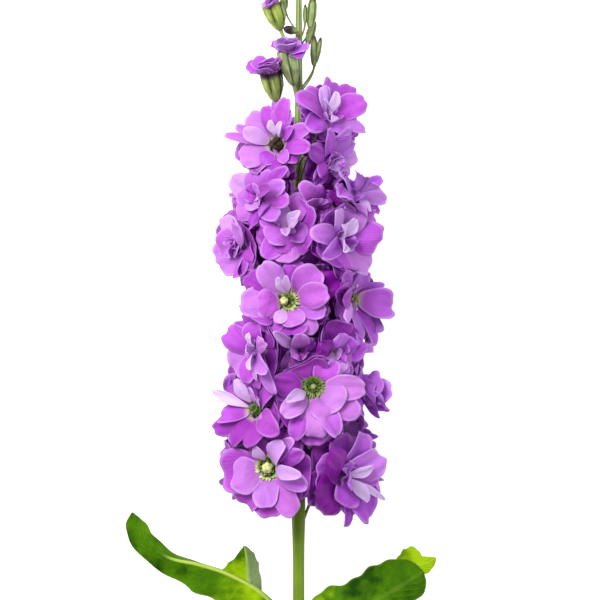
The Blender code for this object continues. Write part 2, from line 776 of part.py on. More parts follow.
def tuft_node(name, flower, seed, centres, green, group, cutters):
    """The petals that stand out of a half-open flower's calyx."""
    base, top = by_the_stem(flower.base), by_the_stem(flower.top)
    face = (top - base).normalized()
    tuft = rosette(name, top, face, flower.tuft * MM, TUFT_WHORLS, KNOB, seed, centres, cutters)
    boolean(tuft, "DIFFERENCE", green)
    return as_node(tuft, top, cutters, group)


def leaf_node(name, leaf, green, group, cutters):
    blade = leaf_blade(name, leaf, cutters)
    boolean(blade, "DIFFERENCE", green)
    return as_node(blade, Vector(leaf.midrib[0]) * MM, cutters, group)


def stem_node(group, cutters):
    """The green framework, cut flat where it lies on the table."""
    stem = green_framework("stem", 0.0, cutters)
    bm = bmesh.new()
    bmesh.ops.create_cube(bm, size=1, matrix=Matrix.Translation((0, 0, -0.5)))
    boolean(stem, "DIFFERENCE", object_from(bm, "table", cutters))
    return as_node(stem, stem_point(STEM_CUT_END), cutters, group)


def rest_over_origin(nodes, group):
    """Hangs the nodes on an empty that is placed so that the bounding box stands over the origin."""
    corners = np.array([node.location + vertex.co for node in nodes for vertex in node.data.vertices])
    middle = (corners.min(axis=0) + corners.max(axis=0)) / 2
    whole = bpy.data.objects.new("stock_flower_stem_at_rest", None)
    whole.location = (-middle[0], -middle[1], 0)
    group.objects.link(whole)
    for node in nodes:
        node.parent = whole


def main():
    clear_scene()
    group = collection("stock_flower_stem")
    cutters = collection("cutters")
    green = green_framework("green_with_clearance", CLEARANCE, cutters)
    centres = face_centres()

    blooms, eyes, tufts = [], [], []
    for seed, (name, bloom) in enumerate(BLOOMS.items()):
        rose, *knob = bloom_node(name, bloom, seed, centres, green, group, cutters)
        blooms.append(rose)
        eyes.extend(knob)
    for seed, (name, flower) in enumerate(HALF_OPEN.items(), len(BLOOMS)):
        tufts.append(tuft_node(name, flower, seed, centres, green, group, cutters))
    stem = stem_node(group, cutters)
    leaves = [leaf_node(name, leaf, green, group, cutters) for name, leaf in LEAVES.items()]

    finish(blooms + tufts, material("petal", PETAL_COLOUR, 0.6))
    finish(eyes, material("flower_eye", EYE_COLOUR, 0.6))
    finish([stem], material("stem_green", STEM_COLOUR, 0.5))
    finish(leaves, material("leaf_green", LEAF_COLOUR, 0.5))
    rest_over_origin([*blooms, *eyes, *tufts, stem, *leaves], group)
    for helper in cutters.objects:
        helper.hide_render = True
        helper.display_type = "WIRE"


main()
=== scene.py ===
"""How a cut stem of double-flowered stock looks: its stem, calyxes, buds, petals, eyes and leaves.

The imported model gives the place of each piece. The stem lies along +Y on the table z = 0, with its
buds at the +Y end, and the camera looks straight down on it. Lengths are in metres unless a name or
a docstring says otherwise. Tables of flowers and leaves are in millimetres and degrees.
"""

from typing import NamedTuple

import bpy
import numpy as np
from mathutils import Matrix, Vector


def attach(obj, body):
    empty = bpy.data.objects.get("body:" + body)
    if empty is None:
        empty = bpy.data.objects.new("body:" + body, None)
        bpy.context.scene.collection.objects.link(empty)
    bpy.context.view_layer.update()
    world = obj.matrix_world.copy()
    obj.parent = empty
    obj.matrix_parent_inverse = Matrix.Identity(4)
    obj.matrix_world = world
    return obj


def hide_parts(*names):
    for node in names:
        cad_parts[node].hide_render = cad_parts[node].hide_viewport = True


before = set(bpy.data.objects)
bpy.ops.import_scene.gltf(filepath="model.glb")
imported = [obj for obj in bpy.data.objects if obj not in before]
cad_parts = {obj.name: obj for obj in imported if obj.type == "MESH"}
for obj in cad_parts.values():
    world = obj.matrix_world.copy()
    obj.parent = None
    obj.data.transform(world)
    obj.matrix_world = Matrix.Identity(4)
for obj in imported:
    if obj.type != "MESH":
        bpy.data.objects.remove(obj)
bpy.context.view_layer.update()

MM = 0.001

# The camera. The photograph shows the stem upright, and here it lies down, so the camera looks
# straight down on it through a long lens. The photograph's lower edge crosses the stem 200 mm above
# the cut end, and that point on the table is where the tables of flowers and leaves measure from.
PHOTO_HEIGHT = 225 * MM
LENS, SENSOR, SEES_TO = 250.0, 36.0, 20.0
NEAR_PETALS = 42 * MM
BELOW_PHOTO = 200 * MM
STEM_SIDEWAYS = -0.5 * MM

stem_solid = np.array([vertex.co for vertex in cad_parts["stem"].data.vertices])
cut_face = stem_solid[stem_solid[:, 1] < stem_solid[:, 1].min() + 1 * MM]
cut_across, cut_along = cut_face[:, 0].mean(), cut_face[:, 1].min()
MEASURED_FROM = np.array([cut_across - STEM_SIDEWAYS, cut_along + BELOW_PHOTO, 0.0])
PHOTO_MIDDLE = MEASURED_FROM + (0, PHOTO_HEIGHT / 2, 0)

lens = bpy.data.cameras.new("photograph")
lens.lens, lens.sensor_width, lens.clip_end = LENS, SENSOR, SEES_TO
camera = bpy.data.objects.new("photograph", lens)
camera.location = PHOTO_MIDDLE + (0, 0, NEAR_PETALS + PHOTO_HEIGHT * LENS / SENSOR)
bpy.context.scene.collection.objects.link(camera)
bpy.context.scene.camera = camera
bpy.context.scene.view_settings.view_transform = "Standard"

# The table and the light. The table is a plain white sheet of matt board. The light is a white room
# with a large soft lamp at the upper left and a weaker one at the right, as in a studio.
ROOM_WHITE = 0.50
TABLE_CORNERS = ((-1, -1), (1, -1), (1, 1), (-1, 1))
TABLE_SIZE, TABLE_BELOW = 6.0, 0.1 * MM
TABLE_GLOW = 0.80
# Where each lamp stands from the middle of the photograph, its size (m) and its power (W)
LAMPS = {
    "upper_left": ((-0.45, 0.50, 0.95), 0.50, 15.0),
    "right": ((0.80, -0.10, 0.55), 0.50, 2.0),
}


def add_node(tree, kind, inputs=None, **settings):
    """A shader node with its settings. Each input is given a value, or linked from an output."""
    made = tree.nodes.new("ShaderNode" + kind)
    for key, value in settings.items():
        setattr(made, key, value)
    for key, value in (inputs or {}).items():
        if isinstance(value, bpy.types.NodeSocket):
            tree.links.new(value, made.inputs[key])
        else:
            made.inputs[key].default_value = value
    return made


def new_finish(name, colour, roughness):
    """A material with a Principled shader of one colour and roughness, its tree, and that shader."""
    made = bpy.data.materials.new(name)
    made.use_nodes = True
    shader = made.node_tree.nodes["Principled BSDF"]
    shader.inputs["Base Color"].default_value = (*colour, 1)
    shader.inputs["Roughness"].default_value = roughness
    return made, made.node_tree, shader


def mixed(tree, share, first, second):
    """The colour that goes from first to second as share goes from 0 to 1."""
    first, second = ((*c, 1) if isinstance(c, tuple) else c for c in (first, second))
    return add_node(tree, "Mix", {0: share, 6: first, 7: second}, data_type="RGBA").outputs[2]


def ramped(tree, value, low, high):
    """A value that rises smoothly from 0 to 1 while the given one goes from low to high."""
    ends = {"Value": value, "From Min": low, "From Max": high}
    return add_node(tree, "MapRange", ends, interpolation_type="SMOOTHSTEP").outputs[0]


def noise(tree, place, scale, detail=2.0):
    """Cloudy noise, with scale features a metre."""
    made = add_node(tree, "TexNoise", {"Vector": place, "Scale": scale, "Detail": detail})
    return made.outputs["Fac"]


def bump(tree, shader, height, depth):
    """Gives the shader a relief of that depth in metres."""
    made = add_node(tree, "Bump", {"Height": height, "Distance": depth})
    tree.links.new(made.outputs[0], shader.inputs["Normal"])


board, tree, shader = new_finish("matt_board", (0.55, 0.55, 0.55), 0.8)
place = add_node(tree, "TexCoord").outputs["Object"]
white = mixed(tree, noise(tree, place, 6.0), (0.54, 0.54, 0.545), (0.56, 0.56, 0.56))
tree.links.new(white, shader.inputs["Base Color"])
bump(tree, shader, noise(tree, place, 900.0), 0.05 * MM)
shader.inputs["Emission Color"].default_value = (1, 1, 1, 1)
shader.inputs["Emission Strength"].default_value = TABLE_GLOW

corners = [(x * TABLE_SIZE / 2, y * TABLE_SIZE / 2, -TABLE_BELOW) for x, y in TABLE_CORNERS]
table_mesh = bpy.data.meshes.new("table")
table_mesh.from_pydata(corners, [], [(0, 1, 2, 3)])
table_mesh.materials.append(board)
table = bpy.data.objects.new("table", table_mesh)
bpy.context.scene.collection.objects.link(table)

room = bpy.data.worlds.new("white_room")
room.use_nodes = True
room.node_tree.nodes["Background"].inputs[0].default_value = (1, 1, 1, 1)
room.node_tree.nodes["Background"].inputs[1].default_value = ROOM_WHITE
bpy.context.scene.world = room

for name, (where, size, power) in LAMPS.items():
    light = bpy.data.lights.new("lamp_" + name, "AREA")
    light.size, light.energy = size, power
    lamp = bpy.data.objects.new("lamp_" + name, light)
    lamp.location = PHOTO_MIDDLE + where
    lamp.rotation_euler = Vector(-np.array(where)).to_track_quat("-Z", "Y").to_euler()
    bpy.context.scene.collection.objects.link(lamp)

# The stem. It is one round, solid, felted green rod that grew from the root, faintly ridged, and
# thicker where a leaf leaves it. A knife has cut it off flat at its lower end, and pale pith shows.
CUT_END, APEX = -200 * MM, 240 * MM
CUT_END_HEIGHT, SPIKE_HEIGHT = 2.4 * MM, 26.4 * MM
LEVEL_FROM = 100 * MM
RADIUS_LOW, RADIUS_HIGH = 2.7 * MM, 1.05 * MM
SLIMMER_BELOW, SLIMMER_OVER, SLIMMER_SHARE = 24 * MM, 3 * MM, 0.80
STEM_RINGS, STEM_SIDES = 260, 28
RIDGES, RIDGE_SHARE, RIDGE_SWAY, SWAY_RATE = 7, 0.035, 3, 18
CUT_SHARE = 0.93
TIP_FROM = 180 * MM
# Where along the stem the leaves leave it, and over what length it swells there (mm), and how much
LEAF_JOINTS = (-132, -106, -84, -72, -57, -30, -15)
JOINT_LENGTH, JOINT_SWELLING = 3.5, 0.35 * MM


class Part(NamedTuple):
    """A part of a piece: its points, its arrays of faces, and its marks, which are values at the points."""

    points: np.ndarray
    faces: tuple
    marks: dict


def stem_middle(along):
    """The stem's middle: level through the spike, and a parabola from there down to the cut end."""
    share = np.minimum(1, (along - CUT_END) / (LEVEL_FROM - CUT_END))
    height = SPIKE_HEIGHT - (SPIKE_HEIGHT - CUT_END_HEIGHT) * (1 - share) ** 2
    return np.stack([np.full_like(share, STEM_SIDEWAYS), along, height], axis=-1)


def stem_radius(along):
    """In the spike it falls with the power 1.3 of the way to the apex. Below the spike it is slimmer."""
    share = np.maximum(0, along / APEX)
    slimmer = SLIMMER_SHARE + (1 - SLIMMER_SHARE) / (1 + np.exp((SLIMMER_BELOW - along) / SLIMMER_OVER))
    return (RADIUS_LOW + (RADIUS_HIGH - RADIUS_LOW) * share**1.3) * slimmer


def unit(vectors):
    """The vectors, each divided by its length."""
    return vectors / np.maximum(np.linalg.norm(vectors, axis=-1, keepdims=True), 1e-12)


def swept(path, radii, **marks):
    """A closed tube along a path.

    Ring k stands square to the path at its point k. Its vertex j of n stands off that point by
    radii[k, j], at the angle 2 pi j / n. A fan closes each end. A mark is a value for each ring, or for
    each vertex of each ring.
    """
    rings, sides = radii.shape
    heading = unit(np.gradient(path, axis=0))
    least = np.eye(3)[np.argmin(np.abs(path[-1] - path[0]))]
    across = unit(np.cross(heading, least))
    up = np.cross(heading, across)
    angle = 2 * np.pi * np.arange(sides) / sides
    off = across[:, None] * np.cos(angle)[:, None] + up[:, None] * np.sin(angle)[:, None]
    points = path[:, None] + off * radii[..., None]
    ring = np.arange(rings * sides).reshape(rings, sides)
    after = np.roll(ring, -1, axis=1)
    walls = np.stack([ring[:-1], after[:-1], after[1:], ring[1:]], axis=-1).reshape(-1, 4)
    first, last = rings * sides, rings * sides + 1
    caps = np.concatenate(
        [
            np.stack([np.full(sides, first), after[0], ring[0]], axis=-1),
            np.stack([np.full(sides, last), ring[-1], after[-1]], axis=-1),
        ]
    )
    values = {}
    for key, mark in marks.items():
        mark = np.asarray(mark, float)
        mark = np.broadcast_to(mark[:, None] if mark.ndim == 1 else mark, radii.shape)
        values[key] = np.concatenate([mark.ravel(), [mark[0].mean(), mark[-1].mean()]])
    points = np.concatenate([points.reshape(-1, 3), path[:1], path[-1:]])
    return Part(points, (walls, caps), values)


def joined(name, parts, finish, slot, *nodes):
    """One mesh object from parts, moved to where the tables measure from. It stands for those nodes."""
    mesh = bpy.data.meshes.new(name)
    faces, start = [], 0
    for part in parts:
        for some in part.faces:
            faces += (some + start).tolist()
        start += len(part.points)
    points = np.concatenate([part.points for part in parts])
    points[:, 2] = np.maximum(points[:, 2], 0)
    mesh.from_pydata((points + MEASURED_FROM).tolist(), [], faces)
    mesh.shade_smooth()
    for key in parts[0].marks:
        attribute = mesh.attributes.new(key, "FLOAT", "POINT")
        attribute.data.foreach_set("value", np.concatenate([part.marks[key] for part in parts]))
    mesh.materials.append(finish)
    piece = bpy.data.objects.new(name, mesh)
    bpy.context.scene.collection.objects.link(piece)
    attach(piece, "root")
    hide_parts(*nodes)
    return piece


def felted_skin():
    """A node group: the mottling of green skin, and the height of its felt of very short hairs."""
    group = bpy.data.node_groups.new("felted_skin", "ShaderNodeTree")
    for name in ("Patches", "Hairs"):
        group.interface.new_socket(name, in_out="INPUT", socket_type="NodeSocketFloat")
    for name in ("Mottling", "Height"):
        group.interface.new_socket(name, in_out="OUTPUT", socket_type="NodeSocketFloat")
    given = group.nodes.new("NodeGroupInput")
    place = add_node(group, "TexCoord").outputs["Object"]
    broad = add_node(group, "TexNoise", {"Vector": place, "Scale": given.outputs["Patches"], "Detail": 3.0})
    fine = add_node(group, "TexNoise", {"Vector": place, "Scale": given.outputs["Hairs"], "Detail": 2.0})
    result = group.nodes.new("NodeGroupOutput")
    group.links.new(ramped(group, broad.outputs["Fac"], 0.3, 0.7), result.inputs["Mottling"])
    group.links.new(fine.outputs["Fac"], result.inputs["Height"])
    return group


FELT = felted_skin()


def mark(tree, name):
    """The value of a mark at each point of the surface."""
    return add_node(tree, "Attribute", attribute_name=name).outputs["Fac"]


def felt(tree, patches, hairs):
    """The felted skin in a material, with so many patches and hairs a metre."""
    made = tree.nodes.new("ShaderNodeGroup")
    made.node_tree = FELT
    made.inputs["Patches"].default_value = patches
    made.inputs["Hairs"].default_value = hairs
    return made.outputs["Mottling"], made.outputs["Height"]


def scaled(tree, value, factor, clamp=False):
    """A value times a factor, which may be a value too. A clamped one stays between 0 and 1."""
    made = add_node(tree, "Math", {0: value, 1: factor}, operation="MULTIPLY", use_clamp=clamp)
    return made.outputs[0]


def coated(tree, shader, colour, sheen, specular):
    """Gives the shader its colour, and how much it sheens and mirrors."""
    tree.links.new(colour, shader.inputs["Base Color"])
    shader.inputs["Sheen Weight"].default_value = sheen
    shader.inputs["Specular IOR Level"].default_value = specular


stem_green, tree, shader = new_finish("stem_green", (0.14, 0.30, 0.03), 0.5)
mottling, hairs = felt(tree, 90.0, 2600.0)
green = mixed(tree, mottling, (0.125, 0.215, 0.006), (0.165, 0.27, 0.009))
ridge_share = scaled(tree, ramped(tree, mark(tree, "ridge"), -0.2, 1.0), 0.35)
green = mixed(tree, ridge_share, green, (0.20, 0.33, 0.03))
green = mixed(tree, ramped(tree, mark(tree, "cut"), 0.3, 0.8), green, (0.55, 0.62, 0.30))
tip_share = scaled(tree, mark(tree, "tip"), 0.8)
tip_green = mixed(tree, ramped(tree, mark(tree, "ridge"), -0.9, 0.0), (0.09, 0.14, 0.04), (0.34, 0.42, 0.16))
green = mixed(tree, tip_share, green, tip_green)
coated(tree, shader, green, sheen=0.08, specular=0.2)
bump(tree, shader, hairs, 0.12 * MM)

# Its radius has ridges, a cosine of the angle round it that a sine shifts along it, and a bell curve
# of swelling at each leaf's joint.
stations = np.linspace(CUT_END, APEX, STEM_RINGS)
angle = 2 * np.pi * np.arange(STEM_SIDES) / STEM_SIDES
joints = np.exp(-(((stations[:, None] / MM - LEAF_JOINTS) / JOINT_LENGTH) ** 2)).sum(axis=1)
ridge = np.cos(RIDGES * angle + RIDGE_SWAY * np.sin(stations[:, None] * SWAY_RATE))
radii = stem_radius(stations)[:, None] * (1 + RIDGE_SHARE * ridge) + JOINT_SWELLING * joints[:, None]
radii[0] *= CUT_SHARE
rod = swept(stem_middle(stations), radii, ridge=ridge, cut=stations <= CUT_END, tip=stations > TIP_FROM)
joined("stem_rod", [rod], stem_green, "stem_green", "stem")

# Stalks and calyxes. Each bloom stands on a thin green stalk that grew out of the stem. The stalk
# swells into the calyx, four long felted sepals with purplish tips that hold the petals' claws.
STALK_RADIUS = 0.62 * MM
STALK_RINGS, STALK_SIDES, STALK_FRESH = 22, 10, 0.3
STALK_PULL, STALK_THICKENING, STALK_RIB = 0.45, 0.35, 0.05
CALYX_LENGTH = 10 * MM
CALYX_RADIUS = 2.4 * MM
CALYX_PROFILE = ((0, 0.9 * MM), (0.15, 1.6 * MM), (0.6, CALYX_RADIUS), (1, 0.9 * CALYX_RADIUS))
STALK_BELOW_CALYX = 8 * MM
# A calyx starts this far below the end of its stalk, so that no gap shows.
SUNK = 0.3 * MM
# Shares of a sepal's height: where dark skin starts and where it is full, and from where the sepals
# part into points, with the height of those
SEPAL_RINGS, DARK_SKIN, PARTED_FROM, POINT_HEIGHT = 18, (0.1, 0.7), 0.6, 0.22


class Bloom(NamedTuple):
    """An open bloom, in millimetres and degrees.

    It stands at a height along the stem, and a bearing round it, where 0 is up and 90 is +X. Its throat
    lies reach away from the stem, and its face turns from the bearing and rises towards the tip. One
    that its neighbours crowd is smaller by a share, and of its chance petals has the backing ring only.
    """

    along: float
    bearing: float
    reach: float
    turn: float
    rise: float
    radius: float
    eyed: bool = False
    crowded: float = 0.0


BLOOMS = {
    "bloom_low_right": Bloom(47, 40, 23, 6, -8, 18.4),
    "bloom_low_left": Bloom(50, -25, 24, -4, -2, 18.9, eyed=True),
    "bloom_mid_right": Bloom(79, 11, 25, 0, 10, 18.9, eyed=True),
    "bloom_mid_left": Bloom(71, -39, 24, -8, 14, 17.8, eyed=True),
    "bloom_rim_right_low": Bloom(77, 86, 21, 6, 4, 15.7),
    "bloom_left": Bloom(94, -34, 24, -12, 0, 17.8),
    "bloom_centre": Bloom(95, -2, 19, 10, -16, 15.7),
    "bloom_centre_right": Bloom(94, 35, 21, -4, -16, 16.2),
    "bloom_right": Bloom(114, 52, 23, 12, -8, 17.3, eyed=True),
    "bloom_heart": Bloom(112, -8, 25, 0, 0, 18.9, eyed=True),
    "bloom_rim_left": Bloom(110, -70, 20, -8, 0, 15.7, crowded=0.35),
    "bloom_inner_right": Bloom(124, 24, 18, 0, -12, 14.0),
    "bloom_upper_right": Bloom(135, 34, 24, 6, 5, 18.9),
    "bloom_upper_centre": Bloom(139, -9, 23, 0, 12, 16.7),
    "bloom_upper_left": Bloom(133, -64, 23, -2, -4, 16.2),
    "bloom_shoulder_left": Bloom(151, -38, 22, 0, 6, 15.7),
    "bloom_shoulder_inner": Bloom(147, 21, 17, 0, -8, 13.5),
    "bloom_shoulder_right": Bloom(151, 54, 22, 6, 30, 17.8),
    "bloom_crown_left": Bloom(170, -21, 21, -4, 12, 18.4, eyed=True),
    "bloom_crown_low": Bloom(165, 36, 17, 6, -12, 15.7),
    "bloom_crown_right": Bloom(180, 32, 18, 6, 24, 16.7),
    "bloom_under_a": Bloom(52, 112, 19, 0, 0, 17.8),
    "bloom_under_b": Bloom(54, -92, 19, 0, 0, 17.3),
    "bloom_under_c": Bloom(56, 170, 16, 0, -4, 18.4),
    "bloom_under_d": Bloom(82, -128, 17, 0, 0, 18.4),
    "bloom_under_e": Bloom(88, 144, 16, 0, 4, 18.4),
    "bloom_under_f": Bloom(108, 98, 20, 0, 4, 16.7),
    "bloom_under_g": Bloom(112, -168, 16, 0, 0, 18.4),
    "bloom_under_h": Bloom(136, -112, 18, 0, 6, 17.8),
    "bloom_under_i": Bloom(140, 130, 17, 0, 6, 18.4),
    "bloom_under_j": Bloom(164, 176, 16, 0, 8, 17.8),
}


def smooth(low, high, value):
    """Smoothstep: 0 below low, 1 above high, and 3t^2 - 2t^3 between."""
    t = np.clip((value - low) / (high - low), 0, 1)
    return t * t * (3 - 2 * t)


def out_of_stem(bearing):
    """The direction straight out of the stem at a bearing, its sine across and its cosine upwards."""
    return np.array([np.sin(np.radians(bearing)), 0.0, np.cos(np.radians(bearing))])


def throat_and_face(bloom):
    """Where a bloom's petals start, and the direction that its face looks in."""
    throat = stem_middle(np.float64(bloom.along * MM)) + out_of_stem(bloom.bearing) * bloom.reach * MM
    rise = np.radians(bloom.rise)
    return throat, out_of_stem(bloom.bearing + bloom.turn) * np.cos(rise) + np.array([0, np.sin(rise), 0])


def curved_path(start, leaving, end, arriving, count):
    """A cubic curve from start to end. Leaving and arriving are its headings there, with their pull."""
    t = np.linspace(0, 1, count)[:, None]
    a, b = start + leaving, end - arriving
    return (1 - t) ** 3 * start + 3 * t * (1 - t) ** 2 * a + 3 * t**2 * (1 - t) * b + t**3 * end


def stalk(start_along, base, forward, radius=STALK_RADIUS, dark=0.0):
    """A stalk out of the stem's middle that bends into the line forward at base.

    Its path is a cubic curve. It is thicker at its root, by a falling exponential, and at its upper
    end, by the sixth power of the way, and three low ribs wind round it.
    """
    start = stem_middle(np.float64(start_along))
    pull = STALK_PULL * np.linalg.norm(base - start)
    path = curved_path(start, np.array([0, 0.5, 0]) * pull, base, forward * pull, STALK_RINGS)
    t = np.linspace(0, 1, STALK_RINGS)
    radii = radius * (1 + STALK_THICKENING * np.exp(-t * 7) + STALK_THICKENING * t**6)
    angle = 2 * np.pi * np.arange(STALK_SIDES) / STALK_SIDES
    radii = radii[:, None] * (1 + STALK_RIB * np.cos(3 * angle + 4 * t[:, None]))
    none = np.zeros(STALK_RINGS)
    return swept(path, radii, tip=none, groove=none, streak=none, fresh=none + STALK_FRESH, dark=none + dark)


def sepals(base, top, profile, lobes, depth, sides=24, fresh=0.3, dark=0.0, tipped=1.0, streaks=0):
    """Sepals that stand side by side round the line from base to top.

    The profile gives pairs of the share of the height and the radius. Grooves between the sepals, the
    power 0.6 of a cosine, cut the radius by the share depth, and each sepal ends in a point that stands
    above the grooves. Fresh is 0 for grey-green and 1 for yellow-green, dark is how much dark brown skin
    there is towards the tip, tipped how purplish the tip is, and streaks how many pale streaks there are.
    """
    heights, radii = np.array(profile).T
    t = np.linspace(0, 1, SEPAL_RINGS)
    angle = 2 * np.pi * np.arange(sides) / sides
    sepal = np.abs(np.cos(lobes * angle / 2)) ** 0.6
    radius = np.interp(t, heights, radii)[:, None] * (1 - depth * (1 - sepal) * np.minimum(1, 3 * t[:, None]))
    streak = np.cos(streaks * angle + 2 * t[:, None]) * np.sin(5 * angle + 4 * t[:, None] + 1) ** 2
    part = swept(
        base + (top - base) * t[:, None],
        radius,
        tip=t * tipped,
        groove=np.broadcast_to(1 - sepal, radius.shape),
        streak=streak * (streaks > 0),
        fresh=np.full(SEPAL_RINGS, fresh),
        dark=dark * smooth(*DARK_SKIN, t),
    )
    parted = np.maximum(0, (t[:, None] - PARTED_FROM) / (1 - PARTED_FROM))
    lowered = POINT_HEIGHT * parted**2 * (1 - sepal)
    part.points[:-2] -= (lowered[..., None] * (top - base)).reshape(-1, 3)
    return part


calyx_green, tree, shader = new_finish("calyx_green", (0.16, 0.28, 0.05), 0.55)
mottling, hairs = felt(tree, 260.0, 3200.0)
green = mixed(tree, mottling, (0.17, 0.24, 0.07), (0.33, 0.41, 0.16))
yellow_green = mixed(tree, mottling, (0.19, 0.30, 0.01), (0.36, 0.46, 0.04))
green = mixed(tree, mark(tree, "fresh"), green, yellow_green)
# The grooves between the sepals are painted near black, as shade.
green = mixed(tree, ramped(tree, mark(tree, "groove"), 0.1, 0.9), green, (0.035, 0.065, 0.012))
streak_share = scaled(tree, ramped(tree, mark(tree, "streak"), 0.1, 0.7), 0.7)
green = mixed(tree, streak_share, green, (0.50, 0.54, 0.36))
green = mixed(tree, ramped(tree, mark(tree, "tip"), 0.74, 0.96), green, (0.06, 0.012, 0.04))
green = mixed(tree, mark(tree, "dark"), green, (0.014, 0.008, 0.004))
coated(tree, shader, green, sheen=0.2, specular=0.3)
bump(tree, shader, hairs, 0.12 * MM)

# Stalks that show between the petals: where each leaves the stem along it, its upper end across the
# stem, along it and above its middle, its heading there, its radius (all mm) and how dark it is
SEEN_STALKS = (
    (17, (5.0, 38.0, 1.0), (0.45, 0.9, 0.3), 0.5, 0.5),
    (152, (7.9, 179.5, 27.0), (0.3, 0.95, -0.1), 0.36, 0.7),
)
calyxes = []
for bloom in BLOOMS.values():
    throat, face = throat_and_face(bloom)
    base = throat - face * CALYX_LENGTH
    calyxes.append(stalk(base[1] - STALK_BELOW_CALYX, base, face))
    calyxes.append(sepals(base - face * SUNK, throat, CALYX_PROFILE, lobes=4, depth=0.25))
for start_along, (across, along, above), heading, radius, dark in SEEN_STALKS:
    middle = stem_middle(np.float64(along * MM))
    base = np.array([across * MM, along * MM, middle[2] + above * MM])
    calyxes.append(stalk(start_along * MM, base, np.array(heading), radius * MM, dark))
joined("bloom_stalks_and_calyxes", calyxes, calyx_green, "stem_green", "stem")

# Closed buds and half-open flowers at the tip. Each is a calyx of felted sepals on a thin stalk that
# grew out of the stem. The sepals of a bud meet at its tip, and a half-open one is a cup.


class Bud(NamedTuple):
    """A closed bud, and where its stalk leaves the stem. Base and tip are places across the stem, along
    it, and above its middle (mm). Dark is the share of dark skin."""

    base: tuple
    tip: tuple
    radius: float
    start: float
    dark: float = 0.0


class HalfOpen(NamedTuple):
    """A half-open flower in the same terms, with the radius of its mouth and of its tuft of petals, how
    fresh a green its calyx is, and how purple at its mouth."""

    base: tuple
    top: tuple
    mouth: float
    tuft: float
    start: float
    fresh: float
    tipped: float


BUDS = {
    "bud_right": Bud((5.3, 201.5, 3.0), (5.3, 212.6, 4.0), 1.5, 189, 0.35),
    "bud_right_prong": Bud((6.0, 202.5, 3.0), (7.9, 211.8, 3.5), 1.1, 190, 0.15),
    "bud_high_right": Bud((3.9, 216, 1.5), (5.0, 227.5, 2.5), 2.0, 207),
    "bud_between": Bud((1.9, 217.5, 2.0), (2.0, 224.4, 2.6), 0.9, 209, 0.2),
    "bud_high_left": Bud((-5.6, 223, 0.5), (-6.8, 231.5, 1.0), 1.6, 212),
    "bud_dark_left": Bud((-1.6, 214.0, 5.5), (-6.2, 214.8, 7.0), 1.75, 206, 1.3),
    "bud_under_right": Bud((3.0, 210, -4.0), (5.5, 219, -7.0), 1.8, 200),
    "bud_under_left": Bud((-4.0, 203, -5.0), (-6.5, 212.5, -8.0), 2.0, 192),
    "bud_tip_a": Bud((1.8, 230, 1.0), (3.0, 238, 1.8), 1.5, 225),
    "bud_tip_b": Bud((-1.6, 234, 1.2), (-3.0, 241.5, 2.0), 1.3, 229),
    "bud_tip_c": Bud((0.4, 239, -1.5), (0.8, 245.5, -2.4), 1.2, 233),
    "bud_tip_d": Bud((-0.2, 240, 0.6), (0.2, 246.5, 1.0), 1.2, 237),
}
HALF_OPEN = {
    "tuft_front": HalfOpen((-2.4, 194, 4.5), (-4.8, 206.6, 7.0), 4.3, 8.6, 183, 0.0, 0.76),
    "tuft_left": HalfOpen((-9.0, 188, 2.5), (-11.4, 199.0, 4.5), 4.5, 9.6, 174, 0.7, 1.05),
    "tuft_top_left": HalfOpen((-7.4, 215.0, 1.0), (-10.8, 224.4, 2.5), 4.3, 5.4, 197, 1.0, 0.86),
}
# Shares of the height, and of the radius there: a bud closes at its tip, and a cup stays open
BUD_PROFILE = np.array(((0, 0.45), (0.1, 0.75), (0.4, 1), (0.75, 0.86), (0.93, 0.5), (1, 0.12)))
CUP_PROFILE = np.array(((0, 0.26), (0.12, 0.50), (0.45, 0.90), (0.75, 1), (1, 1)))
BUD_STALK_RADIUS, BUD_STALK_DARK, CUP_STALK_RADIUS = 0.32 * MM, 0.45, 0.6 * MM


def by_the_stem(place):
    """A point given in millimetres across the stem, along it, and above its middle."""
    across, along, above = (value * MM for value in place)
    middle = stem_middle(np.float64(along))
    return np.array([across, middle[1], middle[2] + above])


buds = []
for bud in BUDS.values():
    base, tip = by_the_stem(bud.base), by_the_stem(bud.tip)
    forward = unit(tip - base)
    profile = BUD_PROFILE * (1, bud.radius * MM)
    buds.append(stalk(bud.start * MM, base, forward, BUD_STALK_RADIUS, BUD_STALK_DARK))
    looks = {"fresh": 0.1, "dark": bud.dark}
    buds.append(sepals(base - forward * SUNK, tip, profile, lobes=4, depth=0.16, **looks))
for flower in HALF_OPEN.values():
    base, top = by_the_stem(flower.base), by_the_stem(flower.top)
    forward = unit(top - base)
    profile = CUP_PROFILE * (1, flower.mouth * MM)
    buds.append(stalk(flower.start * MM, base, forward, CUP_STALK_RADIUS))
    looks = {"sides": 60, "fresh": flower.fresh, "tipped": flower.tipped, "streaks": 17}
    buds.append(sepals(base - forward * SUNK, top, profile, lobes=5, depth=0.2, **looks))
joined("tip_buds_and_calyxes", buds, calyx_green, "stem_green", "stem")

# Petals. A double bloom holds some thirty soft, thin petals in rings, each a rounded blade with a
# narrow pale claw, waved at its rim. Outer ones lie open, and inner ones stand up, small and bleached.
PETAL_CELLS, MIDLINE_STEPS = 16, 40
BLUNTNESS = 2.25
PETAL_THICKNESS, RIM_THINNING = 0.42 * MM, 0.6
# Shares of the way up a petal where it reaches its full width and where a pointed one starts to narrow
WIDEST_AT, POINTED_FROM = 0.62, 0.5
NOTCH_WIDTH, WIDTH_WAVER = 0.24, 0.04
# Heights of the other waves, as shares of the ruffle at the rim, and the width of a crease
FINE_WAVE, BROAD_WAVE, PLEAT, CREASE, CREASE_WIDTH = 0.2, 1.3, 0.55, 1.1, 0.28


